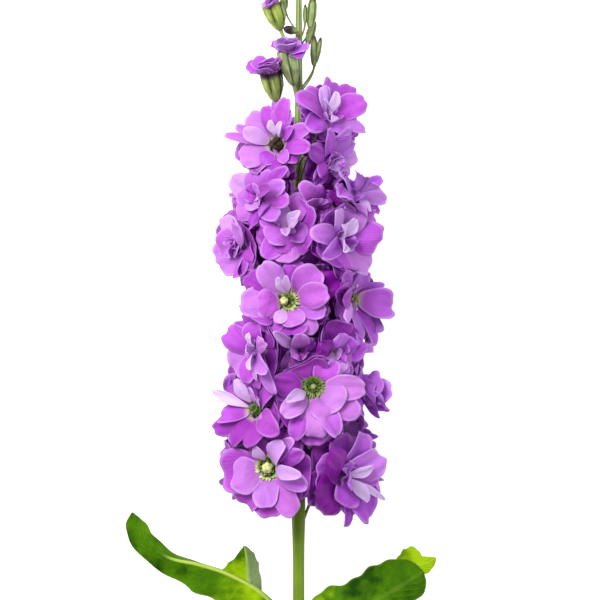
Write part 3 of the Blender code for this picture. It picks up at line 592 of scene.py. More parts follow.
class Ring(NamedTuple):
    """A ring of petals. Lengths, widths and roots are shares of the bloom's radius; angles are degrees.

    A petal leaves its root at the angle start from the bloom's axis, ends at the angle end, and its tip
    curls back by the angle curl. Cup is the angle that its sides rise to, and claw is the width at the
    root. Root stands off the axis, and lift up along it. Its paleness is 1 for bleached and -1 for deep
    purple; below 0 it is painted shade, on petals that lie under others.
    """

    count: int
    length: float
    half_width: float
    start: float
    end: float
    curl: float
    cup: float
    ruffle: float
    claw: float
    root: float
    lift: float
    bleach_and_painted_light: float


# The lower rings' deep purple paleness is painted shade, deepest on the outer ring under the others.
OPEN_RINGS = (
    Ring(6, 0.80, 0.52, 96, 138, 10, 0, 0.020, 0.40, 0.04, -0.16, -1.10),
    Ring(6, 0.96, 0.48, 66, 108, 24, -10, 0.040, 0.30, 0.06, -0.06, -0.60),
    Ring(5, 0.86, 0.42, 58, 98, 30, -6, 0.050, 0.30, 0.05, -0.04, -0.30),
    Ring(4, 0.42, 0.22, 22, 60, 20, 45, 0.060, 0.35, 0.02, 0.00, 0.00),
)
EYED_RINGS = (
    Ring(6, 0.80, 0.52, 96, 138, 10, 0, 0.020, 0.40, 0.08, -0.16, -1.10),
    Ring(6, 0.84, 0.50, 76, 108, 24, -10, 0.040, 0.36, 0.17, -0.06, -0.60),
    Ring(5, 0.74, 0.42, 70, 100, 30, -6, 0.050, 0.36, 0.16, -0.03, -0.30),
)
UNDER_RINGS = (
    Ring(6, 1.04, 0.50, 56, 98, 20, 8, 0.045, 0.20, 0.06, -0.02, 0.00),
    Ring(5, 0.86, 0.44, 40, 78, 26, 20, 0.055, 0.22, 0.05, 0.02, 0.05),
    Ring(4, 0.58, 0.30, 20, 54, 24, 34, 0.065, 0.28, 0.03, 0.06, 0.30),
)


def disc_grid():
    """Rows and columns of places on a blunt disc: across from -1 to 1, and up from -1 to 1.

    A square grid (u, v) goes to the round one (u sqrt(1 - v^2 / 2), v sqrt(1 - u^2 / 2)), and each
    place (a, b) then moves out by (|c|^n + |s|^n)^(-1/n), where c and s are a and b over its radius.
    """
    steps = np.linspace(-1, 1, PETAL_CELLS + 1)
    u, v = np.meshgrid(steps, steps)
    a, b = u * np.sqrt(1 - v**2 / 2), v * np.sqrt(1 - u**2 / 2)
    radius = np.maximum(np.hypot(a, b), 1e-9)
    c, s = np.abs(a) / radius, np.abs(b) / radius
    outwards = np.where(radius > 1e-6, np.maximum(c**BLUNTNESS + s**BLUNTNESS, 1e-9) ** (-1 / BLUNTNESS), 1)
    return a * outwards, b * outwards


def petal_middles(seat, face, up, petals):
    """The middle surfaces of petals, as one array of grids.

    The midline's angle goes evenly from start to end, plus curl times the fourth power of the way, and
    the midline is the running sum of its sine outwards and its cosine forwards. Across it the blade is
    an arc that turns by the angle cup on each side. It starts at the share claw of its width, narrows
    towards the tip by the share pointed, and wavers a little. Notch is how far the tip is cut in. Waves
    of the height ruffle run round the rim, and a broad wave, pleats and a crease run over the blade, at
    places that its phase sets. Twist turns it about its midline. Each value in petals is an array with
    one number for each petal.
    """
    p = {key: np.asarray(value, float)[:, None, None] for key, value in petals.items()}
    a, b = disc_grid()
    rim = np.hypot(a, b)
    notch = p["notch"] * np.exp(-((a / NOTCH_WIDTH) ** 2)) * np.maximum(b, 0) ** 4
    way = np.clip((b + 1) / 2 - notch, 0, 1)

    t = np.linspace(0, 1, MIDLINE_STEPS + 1)
    angles = p["start"][:, 0] + (p["end"] - p["start"])[:, 0] * t + p["curl"][:, 0] * t**4
    sums = []
    for slope in (np.sin(angles), np.cos(angles)):
        steps = (slope[:, 1:] + slope[:, :-1]) / 2 * (t[1] - t[0])
        sums.append(np.concatenate([np.zeros((len(slope), 1)), np.cumsum(steps, axis=1)], axis=1))
    at = way * MIDLINE_STEPS
    low = np.minimum(at.astype(int), MIDLINE_STEPS - 1)
    rows = np.arange(len(low))[:, None, None]
    outward, forward = (s[rows, low] + (s[rows, low + 1] - s[rows, low]) * (at - low) for s in sums)
    angle = p["start"] + (p["end"] - p["start"]) * way + p["curl"] * way**4

    half = p["half_width"] * (p["claw"] + (1 - p["claw"]) * smooth(0.0, WIDEST_AT, way))
    half = half * (1 - p["pointed"] * smooth(POINTED_FROM, 1.0, way))
    waver = np.sin(6 * way + 5 * p["phase"] + 1.3 * np.sign(a)) * smooth(0.3, 0.6, way)
    half = half * (1 + WIDTH_WAVER * waver)
    turn = p["cup"] * a * smooth(-0.1, 0.6, way)
    sideways = half * a * np.sinc(turn / np.pi)
    raised = half * a * turn / 2 * np.sinc(turn / 2 / np.pi) ** 2
    bearing = np.arctan2(a, b)
    fine = np.sin((2 * p["waves"] + 1) * bearing + 2.3 * p["phase"])
    waves = np.sin(p["waves"] * bearing + p["phase"]) + FINE_WAVE * fine
    raised = raised + p["ruffle"] * rim**3 * waves * smooth(0.15, 0.7, way)
    broad = np.sin(2.6 * a + 3.1 * way + 1.7 * p["phase"])
    raised = raised + BROAD_WAVE * p["ruffle"] * broad * smooth(0.2, 0.7, way)
    pleats = np.cos((1.4 + p["waves"] / 2) * np.pi * (a + 0.15 * np.sin(2 * p["phase"])) + 2 * p["phase"])
    raised = raised + PLEAT * p["ruffle"] * pleats * smooth(0.25, 0.95, way)
    crease = np.exp(-(((a - 0.5 * np.sin(p["phase"])) / CREASE_WIDTH) ** 2))
    raised = raised + CREASE * p["ruffle"] * crease * np.cos(3 * p["phase"]) * smooth(0.1, 0.5, way)

    side = np.cross(up, face)
    radial = up * np.cos(p["bearing"])[..., None] + side * np.sin(p["bearing"])[..., None]
    lateral = np.broadcast_to(np.cross(radial, face), radial.shape)
    normal = -radial * np.cos(angle)[..., None] + face * np.sin(angle)[..., None]
    twist = (p["twist"] * way)[..., None]
    cosine, sine = np.cos(twist), np.sin(twist)
    lateral, normal = lateral * cosine + normal * sine, normal * cosine - lateral * sine
    outward = outward * p["length"] + p["root"]
    forward = forward * p["length"] + p["lift"]
    points = seat + radial * outward[..., None] + face * forward[..., None]
    points = points + lateral * sideways[..., None] + normal * raised[..., None]
    shape = points.shape[:3]
    marks = {
        "way": np.broadcast_to(way, shape),
        "across": np.broadcast_to(a, shape),
        "rim": np.broadcast_to(rim, shape),
        "tint_and_side_shade": np.broadcast_to(p["tint_and_side_shade"], shape),
        "bleach_and_painted_light": np.broadcast_to(p["bleach_and_painted_light"], shape),
    }
    return points, marks


def closed_blades(middles, thickness, marks):
    """Closed blades about middle surfaces, from upper face to underside.

    Both faces stand off the middle by half the thickness along its normal, the cross product of the
    grid's two directions. The blade thins towards the rim, where a band of faces closes it.
    """
    count, rows, columns, _ = middles.shape
    normals = unit(np.cross(np.gradient(middles, axis=2), np.gradient(middles, axis=1)))
    thin = (1 - RIM_THINNING * np.clip(marks["rim"], 0, 1) ** 4)[..., None] * thickness / 2
    points = np.stack([middles + normals * thin, middles - normals * thin], axis=1)
    index = np.arange(count * 2 * rows * columns).reshape(count, 2, rows, columns)
    upper, under = index[:, 0], index[:, 1]

    def squares(i):
        """The four-cornered faces between the rows and columns of each grid."""
        return np.stack([i[:, :-1, :-1], i[:, :-1, 1:], i[:, 1:, 1:], i[:, 1:, :-1]], axis=-1).reshape(-1, 4)

    def loop(i):
        """The places round the edge of each grid, in order."""
        return np.concatenate([i[:, 0, :-1], i[:, :-1, -1], i[:, -1, :0:-1], i[:, :0:-1, 0]], axis=1)

    around, below = loop(upper), loop(under)
    corners = [np.roll(around, -1, axis=1), around, below, np.roll(below, -1, axis=1)]
    band = np.stack(corners, axis=-1).reshape(-1, 4)
    values = {key: np.repeat(value[:, None], 2, axis=1).ravel() for key, value in marks.items()}
    values["underside"] = np.broadcast_to(np.array([0.0, 1.0])[:, None, None], index.shape).ravel()
    return Part(points.reshape(-1, 3), (squares(upper), squares(under)[:, ::-1], band), values)


# How petals of a ring differ. Sways are degrees either way, but for paleness. Spreads are shares, and
# waves run round the rim.
BEARING_SWAY, ANGLE_SWAY, CUP_SWAY, CURL_SWAY, TWIST_SWAY, PALE_SWAY = 13, 9, 14, 22, 14, 0.25
LENGTH_SPREAD, WIDTH_SPREAD, RUFFLE_SPREAD = (0.84, 1.08), (0.86, 1.14), (0.5, 1.5)
START_TO_END_SWAY = 0.6
RING_WAVES, DEEPEST_NOTCH, MOST_LIFT = (2, 5), 0.08, 0.02


def rings_of_petals(rings, radius, rng):
    """The values of every petal of some rings, as arrays. The petals of a ring differ by chance."""
    values = {}
    for number, ring in enumerate(rings):
        n = ring.count
        bearing = rng.uniform(0, 360) + 360 / n * np.arange(n) + rng.uniform(-1, 1, n) * BEARING_SWAY
        bend = rng.uniform(-1, 1, n) * ANGLE_SWAY
        half_width = ring.half_width * radius * rng.uniform(*WIDTH_SPREAD, n)
        made = {
            "bearing": np.radians(bearing),
            "length": ring.length * radius * rng.uniform(*LENGTH_SPREAD, n),
            "half_width": half_width,
            "start": np.radians(ring.start + START_TO_END_SWAY * bend),
            "end": np.radians(ring.end + bend),
            "curl": np.radians(ring.curl + rng.uniform(-1, 1, n) * CURL_SWAY),
            "cup": np.radians(ring.cup + rng.uniform(-1, 1, n) * CUP_SWAY),
            "twist": np.radians(rng.uniform(-1, 1, n) * TWIST_SWAY),
            "ruffle": ring.ruffle * radius * rng.uniform(*RUFFLE_SPREAD, n),
            "waves": rng.integers(*RING_WAVES, n),
            "phase": rng.uniform(0, 2 * np.pi, n),
            "notch": rng.uniform(0, DEEPEST_NOTCH, n),
            "pointed": np.zeros(n),
            "claw": np.full(n, ring.claw),
            "root": np.full(n, ring.root * radius),
            "lift": ring.lift * radius + rng.uniform(0, MOST_LIFT, n) * radius,
            "tint_and_side_shade": rng.uniform(0, 1, n),
            "bleach_and_painted_light": ring.bleach_and_painted_light + rng.uniform(-PALE_SWAY, PALE_SWAY, n),
            "layer": np.full(n, number) + np.arange(n) / n,
        }
        for key, value in made.items():
            values.setdefault(key, []).append(value)
    return {key: np.concatenate(value) for key, value in values.items()}


class Seen(NamedTuple):
    """A petal that shows in the photograph: its tip, across and up from its bloom's throat, and its half
    width (mm), the angle that it opens to, from 0 upright to 90 flat, and its paleness as in a ring."""

    across: float
    up: float
    half_width: float
    open: float
    bleach_and_painted_light: float


# A seen petal's paleness is partly its own bleaching and partly painted light: raised on some lit petals, and
# below 0 painted shade on petals that lie in shadow.
SEEN_PETALS = {
    "bloom_rim_left": (
        Seen(-0.8, 2.6, 4.6, 50, 0.3), Seen(-0.8, -2.4, 4.6, 50, 0.2),
    ),
    "bloom_low_left": (
        Seen(-18.0, -2.6, 9.0, 96, -0.3), Seen(-15.0, -4.6, 7.4, 78, 0.2), Seen(-10.0, -15.0, 6.6, 96, -0.3),
        Seen(0.2, -18.6, 7.0, 98, -0.2), Seen(-1.6, -15.0, 5.6, 82, 0.25), Seen(9.6, -17.4, 5.6, 86, 0.15),
        Seen(13.4, -6.4, 4.6, 80, 0.1), Seen(16.2, -2.6, 2.9, 66, 0.55), Seen(5.0, 10.0, 4.2, 58, 0.45),
        Seen(-6.2, 8.2, 2.8, 62, 0.7), Seen(8.4, 11.2, 3.2, 74, 0.2), Seen(12.0, 6.6, 3.6, 82, 0.0),
        Seen(-5.0, 10.5, 4.6, 90, -0.5),
    ),
    "bloom_mid_right": (
        Seen(19.9, 0.6, 5.0, 88, 0.25), Seen(12.5, -4.5, 6.4, 74, 0.3), Seen(17.7, -9.8, 5.0, 92, 0.2),
        Seen(-9.3, -3.7, 2.8, 66, 0.8), Seen(-11.0, -9.5, 4.2, 80, 0.35), Seen(1.2, -18.0, 6.0, 86, 0.25),
        Seen(10.0, -17.5, 4.2, 90, 0.1), Seen(-7.0, -18.5, 4.0, 92, -0.2), Seen(1.0, -21.0, 7.0, 100, -0.2),
        Seen(5.0, -11.0, 4.6, 72, 0.2), Seen(-14.0, 3.0, 5.0, 90, -0.6), Seen(8.0, 11.0, 5.0, 88, 0.0),
    ),
    "bloom_mid_left": (
        Seen(-17.2, 7.2, 2.5, 80, 1.05), Seen(-8.4, 12.0, 3.2, 70, 0.7), Seen(-3.0, 9.0, 3.4, 60, 0.45),
        Seen(-16.8, -7.6, 5.0, 92, -0.5), Seen(-15.0, -2.8, 4.0, 78, -0.1), Seen(-9.6, -13.2, 4.6, 92, -0.7),
        Seen(-2.0, -13.2, 6.0, 88, -0.6), Seen(2.6, -7.2, 6.4, 84, 0.2), Seen(8.4, -8.0, 4.8, 92, -0.4),
        Seen(6.0, 8.0, 4.4, 84, -0.4), Seen(-0.4, 5.2, 3.4, 56, 0.3),
    ),
    "bloom_left": (
        Seen(-14.3, 6.6, 5.6, 86, -0.1), Seen(-11.8, -7.5, 6.6, 92, 0.25), Seen(-4.6, 6.4, 3.4, 56, 0.9),
        Seen(-5.6, -0.6, 2.8, 50, 0.95), Seen(-4.6, -7.3, 2.8, 60, 0.9), Seen(-6.0, -12.5, 4.6, 84, 0.0),
        Seen(-1.6, -15.0, 4.2, 92, -0.3), Seen(-2.6, 10.6, 5.0, 84, 0.0), Seen(4.5, 6.0, 3.4, 60, 0.2),
        Seen(5.4, -16.5, 3.4, 84, 0.2), Seen(3.4, -10.5, 3.4, 66, 0.15), Seen(-9.0, 11.0, 4.0, 92, -0.2),
        Seen(-1.8, -11.5, 2.4, 70, 0.3),
    ),
    "bloom_centre": (
        Seen(1.4, 5.4, 3.6, 46, 0.2), Seen(1.9, -12.0, 4.8, 80, 0.2), Seen(6.7, 2.8, 3.4, 60, 0.0),
        Seen(-8.6, 5.8, 2.3, 66, 0.5), Seen(-7.4, -17.5, 4.2, 88, 0.15), Seen(-1.5, -3.5, 3.4, 34, 0.2),
        Seen(7.5, -7.0, 4.0, 84, -0.5), Seen(-5.0, -9.0, 3.6, 72, 0.1),
    ),
    "bloom_centre_right": (
        Seen(1.6, -8.7, 5.2, 62, 0.45), Seen(7.0, -6.0, 5.6, 80, 0.15), Seen(4.5, 6.3, 4.6, 66, 0.1),
        Seen(-1.2, -12.2, 4.4, 82, 0.6), Seen(-5.0, 2.0, 4.0, 70, -1.1), Seen(9.5, 2.5, 4.4, 80, -0.1),
        Seen(4.0, -1.5, 2.6, 40, 0.5),
    ),
    "bloom_right": (
        Seen(18.4, -4.6, 6.0, 61, 0.05), Seen(14.2, -11.0, 3.4, 98, 0.45), Seen(1.0, -6.5, 2.0, 60, 0.95),
        Seen(-5.0, -12.6, 3.4, 84, 0.3), Seen(5.2, -19.6, 3.6, 90, 0.15), Seen(10.9, -18.6, 3.2, 94, 0.0),
        Seen(8.0, 9.5, 4.6, 84, 0.1), Seen(-8.0, -3.0, 4.2, 84, -0.8), Seen(14.0, 3.0, 4.0, 88, -0.1),
        Seen(2.0, 5.5, 2.0, 60, 0.6), Seen(-9.0, 4.0, 5.0, 90, -0.8), Seen(-3.0, 9.0, 5.0, 90, -0.6),
        Seen(2.0, -15.0, 5.0, 98, -0.8),
    ),
    "bloom_heart": (
        Seen(-10.6, 14.4, 5.6, 82, 0.25), Seen(-12.4, -2.0, 6.0, 76, 0.05), Seen(-4.6, 9.0, 2.0, 52, 0.95),
        Seen(-1.3, 9.8, 1.8, 56, 0.7), Seen(11.4, 12.2, 6.2, 80, 0.1), Seen(14.8, 3.4, 5.2, 76, 0.1),
        Seen(13.8, -4.2, 4.0, 84, 0.1), Seen(10.0, -11.6, 3.8, 90, 0.2), Seen(2.0, -9.4, 5.0, 72, 0.2),
        Seen(-4.6, -8.2, 2.8, 66, 0.6), Seen(-18.5, -1.0, 6.2, 96, 0.2), Seen(-9.0, -12.0, 4.6, 92, -0.1),
        Seen(-16.4, 10.0, 5.0, 100, -0.6), Seen(20.0, 8.4, 5.4, 102, -1.2), Seen(3.0, 15.6, 5.0, 100, -0.4),
    ),
    "bloom_upper_right": (
        Seen(8.0, 8.0, 3.6, 60, 0.85), Seen(3.4, -4.8, 2.4, 50, 0.9), Seen(-2.0, 4.8, 2.3, 46, 0.85),
        Seen(6.8, -4.2, 2.3, 62, 0.5), Seen(17.6, 1.6, 7.2, 84, -0.05), Seen(8.0, 13.8, 5.6, 88, 0.25),
        Seen(1.6, 11.4, 3.6, 66, 0.4), Seen(12.6, -11.4, 6.2, 87, 0.25), Seen(-9.6, 2.2, 4.4, 80, 0.15),
        Seen(-6.0, -7.4, 3.6, 72, 0.05), Seen(1.9, -14.9, 5.8, 86, 0.05), Seen(15.8, 9.8, 4.6, 94, -0.2),
        Seen(-5.6, 8.6, 4.0, 84, -0.4),
    ),
    "bloom_upper_centre": (
        Seen(-8.4, -4.2, 5.8, 70, 0.1), Seen(3.9, 6.3, 2.7, 50, 0.9), Seen(3.0, 3.0, 2.2, 40, 0.8),
        Seen(-4.7, 9.1, 4.0, 70, 0.4), Seen(-1.6, -9.4, 5.4, 80, -0.5), Seen(-1.9, -12.9, 6.6, 92, 0.2),
        Seen(6.5, -3.4, 4.4, 80, 0.1), Seen(6.6, -9.0, 4.4, 88, -0.3), Seen(5.0, 12.6, 4.4, 90, 0.1),
        Seen(-1.0, -3.0, 2.2, 34, 0.55), Seen(-10.5, 4.6, 4.2, 88, 0.0), Seen(-9.4, -11.0, 4.6, 94, -0.1),
    ),
    "bloom_upper_left": (
        Seen(-10.0, 2.2, 6.4, 66, 0.1), Seen(-8.2, 10.3, 6.6, 88, 0.45), Seen(-11.4, -4.2, 6.4, 82, 0.2),
        Seen(-7.8, -8.6, 7.8, 84, 0.2), Seen(-4.6, -11.4, 7.8, 90, 0.1), Seen(-1.0, -12.0, 7.4, 96, -0.1),
        Seen(-1.0, 8.6, 5.4, 80, 0.15), Seen(6.0, 2.6, 3.0, 60, 0.35), Seen(1.6, -5.9, 3.4, 64, 0.3),
        Seen(-5.6, -2.6, 3.4, 44, -0.3), Seen(4.6, -3.0, 3.2, 70, -0.7),
    ),
    "bloom_shoulder_left": (
        Seen(-11.3, 7.2, 4.8, 88, 0.45), Seen(-4.6, 9.4, 4.4, 82, 0.1), Seen(3.3, 9.6, 3.2, 78, 0.05),
        Seen(-9.4, 0.6, 4.8, 78, 0.15), Seen(-1.8, 4.2, 3.2, 50, 0.2), Seen(-5.3, -5.3, 3.2, 66, 0.4),
        Seen(2.4, -2.4, 2.4, 44, 0.6), Seen(-9.6, -7.7, 5.0, 90, 0.15), Seen(-1.5, -10.9, 5.0, 90, 0.1),
        Seen(11.6, 5.4, 4.0, 84, 0.15), Seen(10.8, 12.4, 3.0, 88, -0.1), Seen(5.4, 3.4, 3.0, 62, -0.7),
        Seen(6.4, -8.0, 4.4, 86, 0.1), Seen(12.6, -2.0, 4.2, 86, 0.0), Seen(-12.6, 1.0, 1.2, 92, 0.2),
    ),
    "bloom_shoulder_inner": (
        Seen(-2.5, 2.0, 3.0, 50, 0.2), Seen(3.6, 3.4, 3.2, 56, 0.3), Seen(-5.6, 9.4, 3.6, 70, 0.1),
        Seen(0.5, 8.5, 3.6, 76, -0.2), Seen(5.5, -4.5, 4.0, 78, -0.6), Seen(-3.0, -6.0, 3.8, 76, -0.6),
    ),
    "bloom_shoulder_right": (
        Seen(-14.2, 4.4, 4.4, 86, -0.2), Seen(13.6, 7.4, 2.7, 70, 0.0), Seen(8.4, 9.4, 2.4, 58, 0.1),
        Seen(4.0, 9.0, 3.0, 60, 0.1), Seen(15.2, 0.0, 4.6, 84, 0.25), Seen(12.8, -5.8, 3.2, 92, -0.4),
        Seen(-2.7, 8.2, 5.0, 76, 0.3), Seen(9.3, -5.6, 2.2, 88, 0.7), Seen(-8.0, -1.0, 4.4, 84, 0.1),
        Seen(11.5, 4.0, 2.2, 50, 0.2),
    ),
    "bloom_crown_left": (
        Seen(-3.0, 9.7, 2.0, 54, 0.95), Seen(1.1, 9.0, 1.8, 54, 0.9), Seen(1.4, 15.4, 5.4, 80, 0.05),
        Seen(-4.8, 15.4, 3.2, 86, -0.25), Seen(3.2, 18.4, 3.2, 90, -0.1), Seen(-11.3, 12.1, 5.0, 90, 0.25),
        Seen(-16.1, 7.6, 2.2, 92, 0.2), Seen(-20.4, 4.4, 2.0, 88, 0.15), Seen(-13.3, 5.9, 3.2, 72, 0.5),
        Seen(-14.6, -4.6, 6.2, 84, 0.25), Seen(-11.0, -8.6, 5.4, 92, 0.1), Seen(3.5, -6.1, 2.8, 74, 0.1),
        Seen(-6.0, -6.6, 4.0, 76, 0.0), Seen(12.1, -1.0, 3.4, 80, -0.2), Seen(11.8, 6.4, 3.4, 82, 0.1),
        Seen(7.6, -5.6, 3.4, 88, -0.4), Seen(-0.8, -12.3, 4.6, 92, -0.4), Seen(5.6, 6.6, 2.6, 66, 0.0),
    ),
    "bloom_crown_low": (
        Seen(0.8, 10.9, 3.6, 76, -0.1), Seen(8.9, 12.3, 4.8, 84, 0.15), Seen(12.5, 1.8, 3.6, 86, 0.45),
        Seen(-3.0, -5.4, 4.0, 66, -0.3), Seen(5.6, -3.5, 2.5, 60, 0.6), Seen(8.9, -6.4, 3.6, 80, 0.45),
        Seen(-4.8, -8.6, 4.0, 86, -0.1), Seen(-7.0, 4.5, 4.0, 84, -0.4), Seen(10.6, 7.0, 3.2, 80, 0.2),
        Seen(2.0, 2.6, 2.8, 34, 0.1),
    ),
    "bloom_crown_right": (
        Seen(-11.2, 7.4, 5.2, 80, -0.25), Seen(-6.6, 12.0, 4.4, 84, -0.1), Seen(-0.7, 12.6, 3.4, 70, 0.5),
        Seen(4.6, 10.7, 2.5, 58, 0.95), Seen(3.2, 16.0, 5.4, 92, -0.2), Seen(10.0, 13.0, 4.4, 90, -0.4),
        Seen(15.1, 7.3, 5.2, 82, 0.0), Seen(-5.0, 5.4, 2.2, 56, 0.75), Seen(2.6, -1.6, 2.0, 60, 0.7),
        Seen(16.0, -4.1, 3.2, 86, 0.2), Seen(9.4, -5.6, 4.6, 88, 0.1), Seen(-7.0, -4.0, 4.4, 84, 0.0),
    ),
    "bloom_low_right": (
        Seen(-8.4, -8.0, 7.4, 88, -1.25), Seen(-5.4, 8.6, 6.6, 86, -1.25), Seen(2.7, -11.6, 7.0, 70, -0.25),
        Seen(12.4, -17.2, 6.8, 88, -0.3), Seen(2.7, -19.8, 2.6, 94, -0.2), Seen(-4.6, -15.0, 4.0, 94, -1.1),
        Seen(11.6, -10.2, 2.8, 66, 0.9), Seen(13.4, 3.4, 2.5, 60, 0.9), Seen(16.6, 7.0, 6.4, 80, 0.2),
        Seen(10.5, 16.2, 5.2, 88, 0.1), Seen(17.8, -9.8, 1.6, 84, 0.9), Seen(4.0, -2.0, 3.6, 46, -0.2),
        Seen(16.0, -2.0, 4.0, 80, 0.0),
    ),
    "bloom_rim_right_low": (
        Seen(14.6, 1.6, 5.2, 38, 0.1), Seen(12.8, -5.4, 5.4, 52, -0.2), Seen(10.4, 6.2, 5.4, 62, 0.0),
        Seen(9.6, -8.2, 5.0, 70, -0.4), Seen(12.4, 3.8, 3.6, 28, 0.2), Seen(10.5, -1.0, 3.4, 18, 0.1),
        Seen(11.0, -3.4, 3.6, 34, 0.2), Seen(7.6, 1.0, 5.6, 66, -0.3),
    ),
}


# Petals that the photograph shows. How much a face looks up at the camera where tips start to curl
# back, and where they do so fully
CURL_FACING = (0.1, 0.9)
# The half width (mm) under which a petal is narrow, and the paleness over which it is white
NARROW_BELOW, WHITE_OVER = 3.1, 0.6
# A petal's first angle as a share of its last, and its curl and cup (degrees)
START_SHARES = (0.45, 0.65)
NARROW_CURLS, BROAD_CURLS, NARROW_CUPS, BROAD_CUPS = (-10, 40), (10, 60), (20, 55), (-40, 25)
# How far up an upright petal starts, as a share of the bloom's radius, and the angle that has no lift
UPRIGHT_LIFT, NO_LIFT_AT, WHITE_LIFT = 0.36, 100, 1.0 * MM
WHITE_POINTED, SLIM_CLAW, BROAD_CLAW = 0.3, 0.4, 0.7
# Ruffles are shares of the half width here, and waves run round the rim
SEEN_RUFFLE, TUFT_RUFFLE, SEEN_WAVES, SEEN_NOTCH = 0.09, 0.05, (1, 4), 0.04
BEARINGS_TRIED, LENGTH_COST, NEARER_GAIN = 720, 0.05, 1 * MM
SHORTEST, LONGEST_SHARE = 2 * MM, 1.3
SEEN_LAYER = 3


def aimed_petals(seen, face, radius, root, sink, rng, tuft=False):
    """The values of petals that show their tips at given places in the photograph.

    A tip stands off the throat outwards by root plus the length times the mean sine of the midline's
    angle, and forwards by lift plus the length times its mean cosine. Of many bearings, the one is
    taken whose best length brings the tip nearest to its place, and of two the one nearer the camera.
    The tips of blooms that face sideways curl less. Sink is how far a tuft starts below the mouth.
    """
    across, up_by, half_width, opened, bleach_and_painted_light = np.array(seen).T
    n = len(seen)
    end = np.radians(opened)
    start = end * rng.uniform(*START_SHARES, n)
    narrow = (half_width < NARROW_BELOW) & (not tuft)
    white = bleach_and_painted_light > WHITE_OVER
    curl = np.radians(np.where(narrow, rng.uniform(*NARROW_CURLS, n), rng.uniform(*BROAD_CURLS, n)))
    curl = curl * smooth(*CURL_FACING, face[2])
    t = np.linspace(0, 1, MIDLINE_STEPS + 1)
    angles = start[:, None] + (end - start)[:, None] * t + curl[:, None] * t**4
    outward, forward = np.sin(angles).mean(axis=1), np.cos(angles).mean(axis=1)
    lift = UPRIGHT_LIFT * radius * (1 - opened / NO_LIFT_AT) - sink + WHITE_LIFT * white
    up = upward_across(face)
    turns = np.linspace(0, 2 * np.pi, BEARINGS_TRIED, endpoint=False)
    radial = np.cos(turns)[:, None] * up + np.sin(turns)[:, None] * np.cross(up, face)
    nearer, radial = radial[:, 2], radial[:, :2]
    reach = radial * outward[:, None, None] + face[:2] * forward[:, None, None]
    tip = np.stack([across, up_by], axis=-1)[:, None] * MM
    rest = tip - radial * root - face[:2] * lift[:, None, None]
    length = (rest * reach).sum(axis=-1) / (reach**2).sum(axis=-1)
    miss = np.linalg.norm(rest - reach * length[..., None], axis=-1)
    miss = miss + LENGTH_COST * np.abs(length) - NEARER_GAIN * nearer
    miss[length < SHORTEST] = np.inf
    best = np.argmin(miss, axis=1)
    return {
        "bearing": turns[best],
        "length": np.minimum(length[np.arange(n), best], LONGEST_SHARE * radius),
        "half_width": half_width * MM,
        "start": start,
        "end": end,
        "curl": curl,
        "cup": np.radians(np.where(narrow, rng.uniform(*NARROW_CUPS, n), rng.uniform(*BROAD_CUPS, n))),
        "twist": np.radians(rng.uniform(-1, 1, n) * TWIST_SWAY),
        "ruffle": (TUFT_RUFFLE if tuft else SEEN_RUFFLE) * half_width * MM * rng.uniform(*RUFFLE_SPREAD, n),
        "pointed": WHITE_POINTED * white,
        "waves": rng.integers(*SEEN_WAVES, n),
        "phase": rng.uniform(0, 2 * np.pi, n),
        "notch": rng.uniform(0, SEEN_NOTCH, n),
        "claw": np.where(narrow | white, SLIM_CLAW, BROAD_CLAW),
        "root": np.full(n, root),
        "lift": lift,
        "tint_and_side_shade": rng.uniform(0, 1, n),
        "bleach_and_painted_light": bleach_and_painted_light,
        "layer": SEEN_LAYER + np.arange(n) / n,
    }


# How petals keep clear of each other: the room between flowers is shared out by planes, a little of
# each petal may reach over, and it bends away from calyxes, the stem and the table.
FACE_RISE, TUFT_FACE_RISE, TUFT_SHARE = 4 * MM, 3 * MM, 1.4
NEIGHBOUR_REACH = 1.3
OVERLAP = 3.5 * MM
PLANE_SOFTNESS, LINE_SOFTNESS, TABLE_SOFTNESS = 2.0 * MM, 0.5 * MM, 0.3 * MM
NEAR_CALYX, BELOW_THROAT = 30 * MM, 2 * MM
CALYX_KEEP_OUT, STEM_KEEP_OUT, TABLE_KEEP_OUT = 3.0 * MM, 4.5 * MM, 0.5 * MM
LAYER_ROOM, LAYER_ROOM_AT_TABLE = 0.35 * MM, 0.6
SLIDES = (0.8, 0.4, 0.2)
FACE_PULL = 0.7


def face_centres():
    """The middle of each flower's face and its radius, which share out the room between them."""
    centres = {}
    for name, bloom in BLOOMS.items():
        throat, face = throat_and_face(bloom)
        centres[name] = (throat + face * FACE_RISE, bloom.radius * MM)
    for name, flower in HALF_OPEN.items():
        base, top = by_the_stem(flower.base), by_the_stem(flower.top)
        centres[name] = (top + unit(top - base) * TUFT_FACE_RISE, TUFT_SHARE * flower.tuft * MM)
    return centres


CENTRES = face_centres()


def soft_limit(distance, least, softness):
    """Equal to the distance well above least, and easing to least below it."""
    return least + softness * np.logaddexp(0, (distance - least) / softness)


def clear_of_line(points, start, end, least):
    """Points pushed straight away from a line, to least or more from it."""
    line = end - start
    share = np.clip((points - start) @ line / (line @ line), 0, 1)
    off = points - start - share[..., None] * line
    distance = np.maximum(np.linalg.norm(off, axis=-1), 1e-6)
    return points + off * (soft_limit(distance, least, LINE_SOFTNESS) / distance - 1)[..., None]


def clear_of_plane(points, place, out, throat, face, slide, least):
    """Points pushed back inside a plane, and slid along it away from the throat by a share of the push.

    The slide also goes towards the bloom's open side, so that a petal turns up and keeps its length.
    """
    inside = (place - points) @ out
    push = soft_limit(inside, least, PLANE_SOFTNESS) - inside
    away = points - throat
    away = away + FACE_PULL * np.linalg.norm(away, axis=-1, keepdims=True) * face
    away = unit(away - (away @ out)[..., None] * out)
    return points - push[..., None] * out + away * (slide * push)[..., None]


